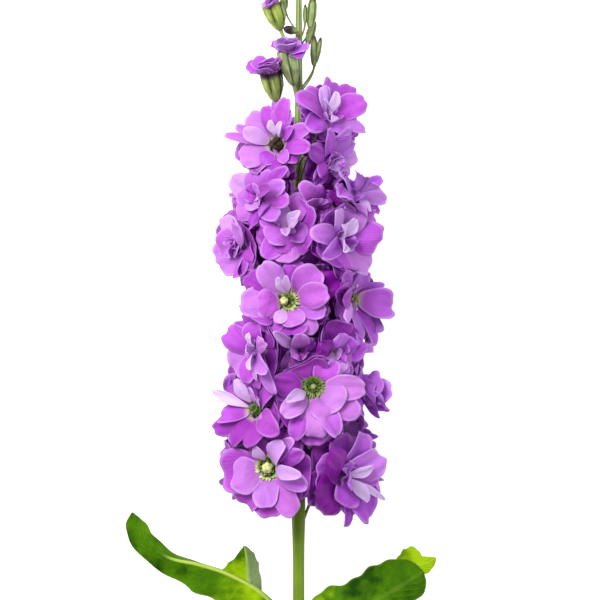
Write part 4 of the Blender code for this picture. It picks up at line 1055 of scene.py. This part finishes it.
def bent_clear(name, points, throat, face, layers, seen):
    """Petals bent clear of the neighbours' room, the calyxes near them, the stem and the table.

    Later layers stay a little further from each plane and from the table, so that petals stack there.
    Petals that are placed by the photograph reach over their neighbours as they do there.
    """
    centre, radius = CENTRES[name]
    spare = (layers * LAYER_ROOM)[:, None, None]
    calyx_lines = []
    for end, heading in map(throat_and_face, BLOOMS.values()):
        if np.linalg.norm(end - throat) < NEAR_CALYX:
            calyx_lines.append((end - heading * CALYX_LENGTH, end - heading * BELOW_THROAT))
    low, high = stem_middle(np.float64(0.0)), stem_middle(np.float64(APEX))
    for slide in SLIDES:
        for start, end in calyx_lines:
            points = clear_of_line(points, start, end, CALYX_KEEP_OUT)
        for other, (place, other_radius) in CENTRES.items():
            between = place - centre
            distance = np.linalg.norm(between)
            if other == name or distance > NEIGHBOUR_REACH * (radius + other_radius):
                continue
            out = between / distance
            plane = centre + out * (distance * radius / (radius + other_radius))
            bent = clear_of_plane(points, plane, out, throat, face, slide, spare - OVERLAP)
            points = np.where(seen[:, None, None, None], points, bent)
        points = clear_of_line(points, low, high, STEM_KEEP_OUT)
        least = TABLE_KEEP_OUT + LAYER_ROOM_AT_TABLE * spare
        height = soft_limit(points[..., 2], least, TABLE_SOFTNESS)
        points = np.concatenate([points[..., :2], height[..., None]], axis=-1)
    return points


# Places where the photograph shows the stem or a stalk between the blooms, across and up from where
# the tables measure, and how wide each gap is (mm)
GAPS = (
    (-1.3, 183.5, 0.8), (-1.2, 179.5, 0.9), (-1.0, 175.5, 0.8), (-0.8, 162.6, 1.0), (0.2, 160.5, 1.4),
    (2.6, 29.0, 1.3), (4.4, 34.0, 1.2),
)
SHORTENED = (0.85, 0.8, 0.75)


def across_a_gap(middles):
    """True for each petal that would grow across one of the gaps, on the side that faces the camera."""
    gaps = np.array(GAPS) * MM
    away = np.linalg.norm(middles[..., None, :2] - gaps[:, :2], axis=-1) - gaps[:, 2]
    over = (away < 0) & (middles[..., 2:] > SPIKE_HEIGHT)
    return over.any(axis=(1, 2, 3))


def upward_across(face):
    """The direction across the face that is closest to +Y, so that bearing 0 is up in the photograph."""
    up = np.array([0, 1.0, 0]) - face[1] * face
    return up / np.linalg.norm(up)


def added(tree, first, second):
    """The sum of two values."""
    return add_node(tree, "Math", {0: first, 1: second}, operation="ADD").outputs[0]


def lit_through(tree, shader, colour, share):
    """Lets a share of the light through a blade, in its colour."""
    through = add_node(tree, "BsdfTranslucent", {"Color": colour})
    blend = add_node(tree, "MixShader", {0: share, 1: shader.outputs[0], 2: through.outputs[0]})
    tree.links.new(blend.outputs[0], tree.nodes["Material Output"].inputs["Surface"])


# Painted shade: how far from the stem's middle petals are painted deep purple, as the shade between the
# blooms, and from where they are not, and how much darker an open bloom's petals are painted towards
# their claws, as the shade under the petals over them
INNER_SHADE = (11 * MM, 21 * MM)
CLAW_SHADE = 0.5

petal_skin, tree, shader = new_finish("petal_skin", (0.50, 0.14, 0.66), 0.5)
place = add_node(tree, "TexCoord").outputs["Object"]
way, across, rim = mark(tree, "way"), mark(tree, "across"), mark(tree, "rim")
clouds = ramped(tree, noise(tree, place, 140.0), 0.3, 0.7)
colour = mixed(tree, clouds, (0.43, 0.04, 0.58), (0.60, 0.125, 0.77))
# Tint goes from warm pink to cool violet: partly each petal's own, and partly painted shade on blooms at the
# right, away from the lamp.
warm = mixed(tree, 0.55, colour, (0.64, 0.10, 0.67))
cool = mixed(tree, 0.55, colour, (0.39, 0.09, 0.78))
colour = mixed(tree, mark(tree, "tint_and_side_shade"), warm, cool)
blade_place = add_node(tree, "CombineXYZ", {"X": across, "Y": way}).outputs[0]
wave = {"Vector": blade_place, "Scale": 2.3, "Distortion": 5.0, "Detail": 3.0, "Detail Scale": 1.3}
veins = add_node(tree, "TexWave", wave, bands_direction="X").outputs["Fac"]
vein_share = scaled(tree, ramped(tree, veins, 0.72, 1.0), 0.13)
colour = mixed(tree, vein_share, colour, (0.32, 0.02, 0.50))
between_share = scaled(tree, ramped(tree, veins, 0.30, 0.0), 0.12)
colour = mixed(tree, between_share, colour, (0.74, 0.38, 0.90))
# Open blooms' petals are painted darker towards their claws, as the shade under the petals over them.
claw_shade_share = scaled(tree, ramped(tree, way, 0.62, 0.12), mark(tree, "depth"))
colour = mixed(tree, claw_shade_share, colour, (0.36, 0.012, 0.46))
# Paler towards the rim: partly the petal's paler margin, partly painted rim light.
pale_margin_and_rim_light_share = scaled(tree, ramped(tree, rim, 0.82, 1.0), 0.55)
colour = mixed(tree, pale_margin_and_rim_light_share, colour, (0.72, 0.40, 0.88))
colour = mixed(tree, scaled(tree, mark(tree, "underside"), 0.5), colour, (0.62, 0.28, 0.78))
# Bleached petals go whitish lilac, partly painted highlight; below 0 the paleness paints them deep purple, as
# shade.
bleach_and_painted_light = mark(tree, "bleach_and_painted_light")
colour = mixed(tree, scaled(tree, bleach_and_painted_light, 0.85, clamp=True), colour, (0.83, 0.68, 0.94))
colour = mixed(tree, scaled(tree, bleach_and_painted_light, -0.9, clamp=True), colour, (0.28, 0.005, 0.38))
claw_share = scaled(tree, ramped(tree, way, 0.22, 0.04), 0.7)
colour = mixed(tree, claw_share, colour, (0.66, 0.58, 0.42))
# Petals near the stem's middle are painted deep purple, as the shade in the gaps between the blooms.
colour = mixed(tree, scaled(tree, mark(tree, "inner"), 0.9), colour, (0.27, 0.003, 0.36))
coated(tree, shader, colour, sheen=0.03, specular=0.2)
rough = add_node(tree, "MapRange", {"Value": clouds, "To Min": 0.42, "To Max": 0.58}).outputs[0]
tree.links.new(rough, shader.inputs["Roughness"])
relief = added(tree, noise(tree, place, 520.0), scaled(tree, veins, 0.08))
bump(tree, shader, relief, 0.35 * MM)
lit_through(tree, shader, colour, 0.22)


def bloom_of_petals(name, throat, face, values, seen_count):
    """Closed petals of one flower, bent clear of the others. The last ones are placed by the photograph.

    A chance petal that would grow across a gap is shortened step by step, and left out if that fails.
    """
    layers = values.pop("layer")
    seen = np.arange(len(layers)) >= len(layers) - seen_count
    middles, marks = petal_middles(throat, face, upward_across(face), values)
    middles = bent_clear(name, middles, throat, face, layers, seen)
    for share in SHORTENED:
        shorter = (~seen & across_a_gap(middles))[:, None, None, None]
        middles = np.where(shorter, throat + share * (middles - throat), middles)
    kept = seen | ~across_a_gap(middles)
    middles, marks = middles[kept], {key: value[kept] for key, value in marks.items()}
    # The inner and depth marks say where petals are painted as shade: deep purple near the stem's middle,
    # between the blooms, and darker towards open blooms' claws.
    stem_at = stem_middle(middles[..., 1])
    from_stem = np.hypot(middles[..., 0] - stem_at[..., 0], middles[..., 2] - stem_at[..., 2])
    marks["inner"] = (1 - smooth(*INNER_SHADE, from_stem)) * ("tuft" not in name)
    marks["depth"] = np.full_like(from_stem, CLAW_SHADE * ("tuft" not in name))
    return closed_blades(middles, PETAL_THICKNESS, marks)


# Petals on the right, the side away from the upper-left lamp, are painted cooler as shade: the sines of
# the bearing where that starts and where it is full, and how much of a petal's tint is its own and how
# much is that painted shade of its side
COOL_SHADED_SIDE = (0.25, 0.85)
OWN_TINT, SHADED_SIDE_TINT = 0.55, 0.45
for seed, (name, bloom) in enumerate(BLOOMS.items()):
    throat, face = throat_and_face(bloom)
    rings = EYED_RINGS if bloom.eyed else UNDER_RINGS if "under" in name else OPEN_RINGS
    rings = rings[:1] if bloom.crowded else rings
    radius, rng = bloom.radius * MM, np.random.default_rng(seed)
    values = rings_of_petals(rings, radius * (1 - bloom.crowded), rng)
    seen = SEEN_PETALS.get(name, ())
    if seen:
        aimed = aimed_petals(seen, face, radius, rings[-1].root * radius, 0, rng)
        values = {key: np.concatenate([value, aimed[key]]) for key, value in values.items()}
    # Blooms on the right, away from the upper-left lamp, get a cooler tint as painted shade.
    shaded_side_coolness = smooth(*COOL_SHADED_SIDE, np.sin(np.radians(bloom.bearing)))
    values["tint_and_side_shade"] = OWN_TINT * values["tint_and_side_shade"] + SHADED_SIDE_TINT * shaded_side_coolness
    part = bloom_of_petals(name, throat, face, values, len(seen))
    joined(name.replace("bloom", "petals"), [part], petal_skin, "petal", name)

# Petals of the half-open flowers. They are the same petals, still short, crumpled and upright, in a
# tuft that has just burst out of the calyx. Rounded lobes lie over its mouth as a cap.
TUFT_RINGS = (
    Ring(4, 0.56, 0.36, 18, 46, 34, 20, 0.03, 0.50, 0.16, -0.20, 0.10),
    Ring(3, 0.62, 0.34, 8, 26, 34, 30, 0.03, 0.50, 0.08, -0.16, 0.25),
)
# Here too paleness is partly painted light: raised on front petals that face the lamp, and below 0 painted
# shade.
SEEN_TUFTS = {
    "tuft_front": (
        Seen(7.7, 0.2, 3.4, 72, 0.1), Seen(5.8, -3.2, 2.4, 92, -0.4), Seen(-5.6, -5.6, 2.1, 100, -0.2),
        Seen(-6.3, 2.6, 2.6, 76, -0.2), Seen(0.6, 6.2, 4.0, 50, 0.3), Seen(-3.3, 4.8, 3.6, 56, 0.25),
        Seen(4.2, 4.6, 3.4, 60, 0.2), Seen(-1.6, 4.4, 3.4, 34, 0.5), Seen(2.2, 4.0, 3.2, 32, 0.5),
    ),
    "tuft_left": (
        Seen(-9.0, 2.6, 3.8, 78, -0.1), Seen(-7.6, 0.2, 3.2, 84, -0.3), Seen(-6.4, 4.8, 3.8, 64, 0.05),
        Seen(-2.8, 6.2, 4.2, 52, 0.05), Seen(0.6, 5.2, 3.4, 46, 0.0), Seen(-5.0, 1.4, 3.8, 60, -0.1),
        Seen(-1.2, 3.6, 3.8, 34, 0.1), Seen(1.8, 3.0, 3.0, 34, 0.05),
    ),
    "tuft_top_left": (
        Seen(-2.4, 3.6, 2.6, 50, 0.2), Seen(0.6, 4.4, 2.8, 36, 0.1), Seen(2.6, 3.0, 2.6, 50, 0.0),
        Seen(-3.8, 0.4, 1.8, 80, 0.6), Seen(-0.6, 2.4, 2.6, 36, 0.3),
    ),
}
TUFT_SINK, TUFT_ROOT, TUFT_TO_CAMERA = 2.0 * MM, 0.4, 0.45
FIRST_TUFT_SEED = 100
for seed, (name, flower) in enumerate(HALF_OPEN.items(), FIRST_TUFT_SEED):
    base, top = by_the_stem(flower.base), by_the_stem(flower.top)
    face = unit(unit(top - base) + (0, 0, TUFT_TO_CAMERA))
    rng = np.random.default_rng(seed)
    values = rings_of_petals(TUFT_RINGS, flower.tuft * MM, rng)
    seen, root = SEEN_TUFTS[name], TUFT_ROOT * flower.mouth * MM
    aimed = aimed_petals(seen, face, flower.tuft * MM, root, TUFT_SINK, rng, tuft=True)
    values = {key: np.concatenate([value, aimed[key]]) for key, value in values.items()}
    part = bloom_of_petals(name, top, face, values, len(seen))
    joined(name.replace("tuft", "tuft_petals"), [part], petal_skin, "petal", name)

# Eyes. In the throat of some blooms shows a tight bud of unopened petals: a yellow-green knob in a
# green gap, ringed by the pale toothed bases of the petals. It grew with the bloom. The gap is painted
# dark, as the shade in it.
EYE_SEAT = 1.65 * MM
# The floor of the gap is a flat lens, a dark sheet of painted shade: how wide each ring of it is,
# and how high over the seat (mm)
FLOOR_MARGIN, FLOOR_SIDES = 1.3, 24
FLOOR_SHARES, FLOOR_HEIGHTS = np.array([0.3, 1.0, 1.0, 0.3]), np.array([-1.6, -1.3, -0.7, -0.4])
KNOB_RINGS, KNOB_SIDES, KNOB_HEIGHT = 12, 20, 3.2
TOOTH_THICKNESS, TOOTH_RUFFLE = 0.35 * MM, 0.08 * MM
FIRST_EYE_SEED = 200


class Eye(NamedTuple):
    """An eye: how many teeth, their length, half width and distance out, and the knob's radius (mm), and
    how light it is, from dark green 0 to pale yellow 1, or dark brown below 0. Sunny is the bearing of
    its lighter side, contrast how much darker and shorter the other side is. Aside is where it stands
    off the throat, and lean where its knob stands off its middle, both across and up (mm)."""

    teeth: int
    length: float
    half_width: float
    out: float
    knob: float
    light: float
    sunny: float
    contrast: float
    aside: tuple = (0.0, 0.0)
    lean: tuple = (0.0, 0.0)


EYES = {
    "eye_low_left": Eye(19, 2.6, 0.75, 3.2, 2.1, 0.9, 200, 0.3),
    "eye_mid_right": Eye(28, 3.6, 0.42, 2.2, 1.1, 0.32, 150, 0.9, (0.3, 1.2), (-0.3, -0.6)),
    "eye_mid_left": Eye(14, 1.6, 0.45, 1.2, 0.6, 0.2, 215, 1.0, (0.0, 0.6), (-0.8, -0.4)),
    "eye_right": Eye(12, 2.6, 0.45, 1.0, 0.7, 0.35, 280, 0.9, (1.2, -1.5)),
    "eye_heart": Eye(24, 3.2, 0.50, 1.8, 1.5, 1.0, 75, 0.75, (0.0, 0.0), (-1.5, 0.2)),
    "eye_crown_left": Eye(9, 1.5, 0.45, 0.9, 0.7, -0.3, 100, 0.0, (-0.3, 0.6)),
}


class Teeth(NamedTuple):
    """A ring of teeth: how many, how long, how far out and how light, as shares of what its eye says,
    how far up they start (mm), and the angles from upright that they start and end at."""

    count: float
    length: float
    out: float
    light: float
    lift: float
    start: float
    end: float


OUTER_TEETH = Teeth(1, 1, 1, 1, 0.3, 30, 84)
INNER_TEETH = Teeth(0.5, 0.8, 0.7, 0.35, 0.0, 8, 40)

eye_green, tree, shader = new_finish("eye_green", (0.42, 0.50, 0.10), 0.5)
place = add_node(tree, "TexCoord").outputs["Object"]
tooth = mixed(tree, mark(tree, "light"), (0.08, 0.15, 0.015), (0.80, 0.80, 0.36))
# The teeth and the knob are painted dark green towards their bases, and the gap's floor darkest, as shade in
# the gap.
colour = mixed(tree, ramped(tree, mark(tree, "way"), 0.15, 0.75), (0.04, 0.09, 0.01), tooth)
colour = mixed(tree, ramped(tree, noise(tree, place, 700.0), 0.45, 0.75), colour, (0.16, 0.30, 0.03))
colour = mixed(tree, ramped(tree, mark(tree, "light"), 0.0, -0.2), colour, (0.05, 0.03, 0.015))
coated(tree, shader, colour, sheen=0.0, specular=0.35)
bump(tree, shader, noise(tree, place, 1600.0), 0.15 * MM)


def ring_of_teeth(ring, eye, seat, face, rng):
    """A ring of small pointed petals, made as petals are. Each is darker and shorter by the cosine of
    its bearing from the sunny side."""
    count = int(ring.count * eye.teeth)
    turns = 2 * np.pi * (np.arange(count) + rng.uniform(-0.4, 0.4, count)) / count
    even = np.ones(count)
    shade = eye.contrast * (0.5 - 0.5 * np.cos(turns - np.radians(eye.sunny)))
    values = {
        "bearing": turns,
        "length": ring.length * eye.length * MM * rng.uniform(0.7, 1.2, count) * (1 - 0.5 * shade),
        "half_width": eye.half_width * MM * rng.uniform(0.8, 1.2, count),
        "start": np.radians(ring.start) * even,
        "end": np.radians(ring.end) * even + rng.uniform(-0.2, 0.2, count),
        "curl": 0.3 * even,
        "cup": 0.7 * even,
        "twist": rng.uniform(-0.4, 0.4, count),
        "ruffle": TOOTH_RUFFLE * even,
        "waves": 2 * even,
        "phase": rng.uniform(0, 6, count),
        "notch": 0 * even,
        "pointed": 0.6 * even,
        "claw": 0.8 * even,
        "root": ring.out * eye.out * MM * even,
        "lift": ring.lift * MM * even,
        "tint_and_side_shade": even,
        "bleach_and_painted_light": 0 * even,
    }
    middles, marks = petal_middles(seat, face, upward_across(face), values)
    part = closed_blades(middles, TOOTH_THICKNESS, marks)
    each = ring.light * eye.light * (1 - shade) * rng.uniform(0.6, 1.1, count)
    light = np.repeat(each, len(part.points) // count)
    return Part(part.points, part.faces, {"way": part.marks["way"], "light": light})


for seed, (name, eye) in enumerate(EYES.items(), FIRST_EYE_SEED):
    rng = np.random.default_rng(seed)
    throat, face = throat_and_face(BLOOMS[name.replace("eye", "bloom")])
    up = upward_across(face)
    side = np.cross(up, face)
    seat = throat + face * EYE_SEAT + (side * eye.aside[0] + up * eye.aside[1]) * MM
    knob_seat = seat + (side * eye.lean[0] + up * eye.lean[1]) * MM
    outer = ring_of_teeth(OUTER_TEETH, eye, seat, face, rng)
    inner = ring_of_teeth(INNER_TEETH, eye, seat, face, rng)
    floor_path = seat + face * FLOOR_HEIGHTS[:, None] * MM
    radii = FLOOR_SHARES[:, None] * (eye.out + FLOOR_MARGIN) * MM * np.ones(FLOOR_SIDES)
    none = np.zeros(len(FLOOR_SHARES))
    floor = swept(floor_path, radii, way=none, light=none + min(eye.light, 0))
    # The knob is a ball cut off at both ends, with five low ribs that wind round it.
    rise = np.linspace(0, 1, KNOB_RINGS)
    angle = 2 * np.pi * np.arange(KNOB_SIDES) / KNOB_SIDES
    radii = eye.knob * MM * np.sqrt(np.clip(1 - (1.6 * rise - 0.7) ** 2, 0.02, 1))[:, None]
    radii = radii * (1 + 0.12 * np.cos(5 * angle + 3 * rise[:, None]))
    knob_path = knob_seat + face * rise[:, None] * KNOB_HEIGHT * MM
    knob = swept(knob_path, radii, way=0.3 + 0.6 * rise, light=np.full(KNOB_RINGS, eye.light))
    joined(name + "_teeth_and_knob", [floor, outer, inner, knob], eye_green, "flower_eye", name)

# Leaves. Each is one long, soft, felted blade that grew out of the stem at a joint, folded along its
# pale midrib and waved at its edges. The ones below the photograph's edge lie on the table.


class Leaf(NamedTuple):
    """A blade. Each row gives a place on its midrib, across, along, and above the table, then the widths
    of its left and right halves seen from the root (mm), then how steeply each falls away (degrees),
    and its tone, from -1 for dark green to 1 for yellow-green. Wave is how high its edges wave (mm),
    grey the greyness of its right half, and midrib how much the midrib stands out, up to the share
    midrib_end of its length, which is past the tip if nothing else is said.
    """

    rows: tuple
    wave: float
    grey: float = 0.0
    midrib: float = 1.0
    midrib_end: float = 1.1


# A row's tone is partly the leaf's own greens and partly painted light and shade: yellow-green where the
# blade is lit, dark green where it is shaded.
LEAVES = {
    "leaf_left": Leaf(
        (
            (-1.0, -14.0, 23.0, 2.5, 2.0, 10, 60, 0.3), (-13.5, 0.8, 29.0, 9.5, 4.0, 8, 84, 0.5),
            (-26.0, 8.6, 30.0, 11.5, 4.0, 10, 86, 0.6), (-38.0, 12.6, 29.0, 10.6, 4.0, 10, 86, 0.15),
            (-49.0, 14.8, 27.5, 6.6, 3.6, 10, 55, -0.55), (-58.3, 20.4, 26.5, 4.9, 4.3, 8, 12, -0.45),
            (-62.3, 26.6, 26.0, 3.9, 4.0, 8, 8, -0.35), (-63.6, 32.0, 26.0, 0.9, 0.9, 8, 8, -0.35),
        ),
        wave=0.6,
        midrib_end=0.58,
    ),
    "leaf_left_small": Leaf(
        (
            (-1.0, -30.0, 21.0, 2.5, 2.0, 10, 40, 0.2), (-10.0, -17.0, 15.0, 8.0, 6.0, 10, 55, 0.3),
            (-17.5, -4.0, 12.0, 11.0, 8.0, 8, 60, 0.9), (-19.4, 6.0, 13.0, 11.5, 8.0, 8, 58, 1.0),
            (-19.9, 11.6, 15.0, 8.4, 5.6, 8, 50, 0.7), (-20.5, 15.4, 16.2, 4.2, 3.4, 8, 45, 0.3),
            (-21.2, 18.8, 17.0, 0.5, 0.6, 8, 40, -0.1),
        ),
        wave=0.5,
        grey=0.9,
    ),
    "leaf_right": Leaf(
        (
            (1.0, -16.0, 23.0, 3.0, 2.5, 5, 20, 0.4), (12.0, -10.0, 27.0, 12.4, 8.0, 4, 16, 0.3),
            (24.0, -4.0, 27.0, 11.2, 9.0, 8, 14, -0.6), (35.0, 2.0, 25.5, 12.2, 8.5, 8, 14, -0.5),
            (46.6, 9.4, 23.0, 7.4, 7.0, 8, 16, -0.1),
        ),
        wave=1.0,
        midrib=0.08,
    ),
    "leaf_over": Leaf(
        (
            (1, -72, 18, 2.2, 2.2, 10, 10, 0), (4, -52, 27, 7.5, 7.5, 12, 12, 0.2),
            (9, -36, 33, 9, 9, 14, 14, 0), (15, -22, 33, 8, 8, 14, 14, 0), (21, -10, 29, 3, 3, 10, 10, 0),
        ),
        wave=1.2,
    ),
    "leaf_low_left": Leaf(
        (
            (-1, -57, 19, 2.2, 2.2, 10, 10, 0), (-19, -42, 19, 7.5, 7.5, 12, 12, 0.2),
            (-40, -33, 15, 9.5, 9.5, 14, 14, 0), (-60, -30, 8, 8.5, 8.5, 12, 12, 0.1),
            (-76, -33, 2.5, 3, 3, 4, 4, 0),
        ),
        wave=1.2,
    ),
    "leaf_low_right": Leaf(
        (
            (1, -84, 16, 2.2, 2.2, 10, 10, 0), (17, -68, 17, 7.5, 7.5, 12, 12, 0.2),
            (36, -56, 14, 9.5, 9.5, 14, 14, 0), (55, -49, 8, 8.5, 8.5, 12, 12, 0.1),
            (72, -48, 2.5, 3, 3, 4, 4, 0),
        ),
        wave=1.2,
    ),
    "leaf_cut_left": Leaf(
        (
            (-1, -106, 13, 2.2, 2.2, 10, 10, 0), (-16, -92, 15, 7, 7, 12, 12, 0.2),
            (-34, -83, 12, 8.5, 8.5, 14, 14, 0), (-52, -79, 6, 7.5, 7.5, 10, 10, 0.1),
            (-67, -81, 2, 3, 3, 2, 2, 0),
        ),
        wave=1.0,
    ),
    "leaf_cut_right": Leaf(
        (
            (1, -132, 9, 2.2, 2.2, 10, 10, 0), (13, -118, 12, 6, 6, 12, 12, 0.2),
            (28, -108, 10, 7.5, 7.5, 14, 14, 0), (43, -103, 5, 6.5, 6.5, 10, 10, 0.1),
            (56, -104, 1.8, 2.6, 2.6, 2, 2, 0),
        ),
        wave=1.0,
    ),
}
CURLED_TIPS = {
    "leaf_right": Leaf(
        (
            (36.0, 8.0, 19.0, 2.0, 1.5, 10, 0, 0.5), (40.0, 10.4, 20.5, 5.6, 2.0, 6, -10, 0.6),
            (43.2, 11.6, 21.5, 7.2, 3.0, 8, -6, 0.8), (47.2, 12.2, 22.8, 3.6, 3.6, 14, 10, 1.3),
            (51.4, 14.6, 24.5, 0.7, 0.9, 14, 10, 1.3),
        ),
        wave=0.3,
        midrib=0.3,
    ),
}
LEAF_THICKNESS = 0.6 * MM
LEAF_ROWS, LEAF_COLUMNS = 90, 33
MIDRIB_HEIGHT, MIDRIB_WIDTH, MIDRIB_FADE = 0.55 * MM, 0.07, 0.8
FOLD_ROUNDING, FOLD_BLEND = 0.006, 0.12
BLUNT_FROM, LEAST_END = 0.92, 0.004
EDGE_WAVER, FINE_EDGE_WAVE = 0.04, 0.7
SIDE_VEINS, VEIN_SLANT, VEIN_HEIGHT = 13, 3.2, 0.16 * MM
PHASE_STEP = 1.3


def smooth_rows(rows, samples):
    """Rows of values on a Catmull-Rom curve through the given rows."""
    knots = np.array([rows[0], *rows, rows[-1]], float)
    knots[0] = 2 * knots[1] - knots[2]
    knots[-1] = 2 * knots[-2] - knots[-3]
    where = np.linspace(0, len(rows) - 1, samples)
    step = np.minimum(where.astype(int), len(rows) - 2)
    t = (where - step)[:, None]
    a, b, c, d = (knots[step + k] for k in range(4))
    return b + 0.5 * t * (c - a + t * (2 * a - 5 * b + 4 * c - d + t * (3 * b - a - 3 * c + d)))


def leaf_middle(leaf, phase):
    """A leaf's middle surface.

    Each half leaves the rounded ridge of the midrib at its own angle, as wide as its row says, and the
    end is rounded off as a quarter circle. The edges wave with sines of two lengths, the midrib stands
    up as a bell curve, and side veins are sines that slant away from it.
    """
    u, v = np.meshgrid(np.linspace(-1, 1, LEAF_COLUMNS), np.linspace(0, 1, LEAF_ROWS))
    rows = smooth_rows(leaf.rows, LEAF_ROWS)
    path, widths, falls, tone = rows[:, :3] * MM, rows[:, 3:5] * MM, np.radians(rows[:, 5:7]), rows[:, 7]
    heading = unit(np.gradient(path, axis=0))
    side = unit(np.cross(heading, (0, 0, 1)))
    normal = np.cross(side, heading)
    right = smooth(-FOLD_BLEND, FOLD_BLEND, u)
    end = np.sqrt(np.clip(1 - ((v - BLUNT_FROM) / (1.001 - BLUNT_FROM)) ** 2, LEAST_END, 1))
    end = np.where(v > BLUNT_FROM, end, 1)
    width = (widths[:, :1] * (1 - right) + widths[:, 1:] * right) * end
    waver = np.sin(38 * v + 2 * np.sign(u) + phase) * smooth(0.1, 0.3, v) * np.abs(u)
    width = width * (1 + EDGE_WAVER * waver)
    fall = falls[:, :1] * (1 - right) + falls[:, 1:] * right
    roof = np.sqrt(u**2 + FOLD_ROUNDING) - np.sqrt(FOLD_ROUNDING)
    fine = np.sin(24 * v + 2.2 * u + 2 * phase)
    ripple = leaf.wave * MM * (np.sin(9 * v + 1.5 * u + phase) + FINE_EDGE_WAVE * fine)
    rise = np.abs(u) ** 1.5 * ripple * smooth(0.05, 0.3, v) - roof * width * np.sin(fall)
    bell = np.exp(-((u / MIDRIB_WIDTH) ** 2))
    rise = rise + MIDRIB_HEIGHT * leaf.midrib * bell * (1 - MIDRIB_FADE * v)
    vein = np.cos(2 * np.pi * (SIDE_VEINS * v - VEIN_SLANT * np.abs(u)))
    rise = rise + VEIN_HEIGHT * vein * smooth(0.05, 0.3, np.abs(u)) * (1 - np.abs(u))
    sideways = u * width * np.cos(fall)
    middle = path[:, None] + side[:, None] * sideways[..., None] + normal[:, None] * rise[..., None]
    middle[..., 2] = np.maximum(middle[..., 2], LEAF_THICKNESS / 2)
    shown = leaf.midrib * smooth(leaf.midrib_end + 0.05, leaf.midrib_end - 0.05, v)
    marks = {
        "rim": np.abs(u),
        "vein": vein,
        "tone": np.broadcast_to(tone[:, None], u.shape),
        "grey": leaf.grey * right,
        "midrib": shown,
    }
    return middle[None], {key: value[None] for key, value in marks.items()}


leaf_green, tree, shader = new_finish("leaf_green", (0.12, 0.30, 0.008), 0.45)
mottling, hairs = felt(tree, 110.0, 2200.0)
place = add_node(tree, "TexCoord").outputs["Object"]
colour = mixed(tree, mottling, (0.048, 0.155, 0.0004), (0.085, 0.235, 0.0008))
blotches = scaled(tree, added(tree, noise(tree, place, 95.0, 4.0), -0.5), 3.2)
# Tone and random blotches go from dark green to yellow-green; the rows' tones are partly painted light and
# shade.
tone = added(tree, blotches, mark(tree, "tone"))
colour = mixed(tree, ramped(tree, tone, 0.15, 1.0), colour, (0.36, 0.58, 0.003))
colour = mixed(tree, ramped(tree, tone, -0.10, -0.9), colour, (0.012, 0.058, 0.0004))
vein_share = scaled(tree, ramped(tree, mark(tree, "vein"), 0.8, 1.0), 0.25)
colour = mixed(tree, vein_share, colour, (0.34, 0.52, 0.08))
rim = mark(tree, "rim")
midrib_share = scaled(tree, ramped(tree, rim, 0.10, 0.05), mark(tree, "midrib"))
colour = mixed(tree, midrib_share, colour, (0.46, 0.62, 0.10))
edge_share = scaled(tree, ramped(tree, rim, 0.93, 1.0), 0.5)
colour = mixed(tree, edge_share, colour, (0.22, 0.38, 0.02))
colour = mixed(tree, scaled(tree, mark(tree, "underside"), 0.5), colour, (0.22, 0.34, 0.08))
grey_green = mixed(tree, mottling, (0.16, 0.28, 0.08), (0.36, 0.48, 0.24))
colour = mixed(tree, mark(tree, "grey"), colour, grey_green)
coated(tree, shader, colour, sheen=0.01, specular=0.05)
rough = add_node(tree, "MapRange", {"Value": mottling, "To Min": 0.38, "To Max": 0.55}).outputs[0]
tree.links.new(rough, shader.inputs["Roughness"])
bump(tree, shader, added(tree, noise(tree, place, 420.0), hairs), 0.25 * MM)
lit_through(tree, shader, colour, 0.15)

for number, (name, leaf) in enumerate(LEAVES.items()):
    blades = [leaf, CURLED_TIPS[name]] if name in CURLED_TIPS else [leaf]
    made = [leaf_middle(blade, PHASE_STEP * number) for blade in blades]
    parts = [closed_blades(middle, LEAF_THICKNESS, marks) for middle, marks in made]
    joined(name + "_blade", parts, leaf_green, "leaf_green", name)
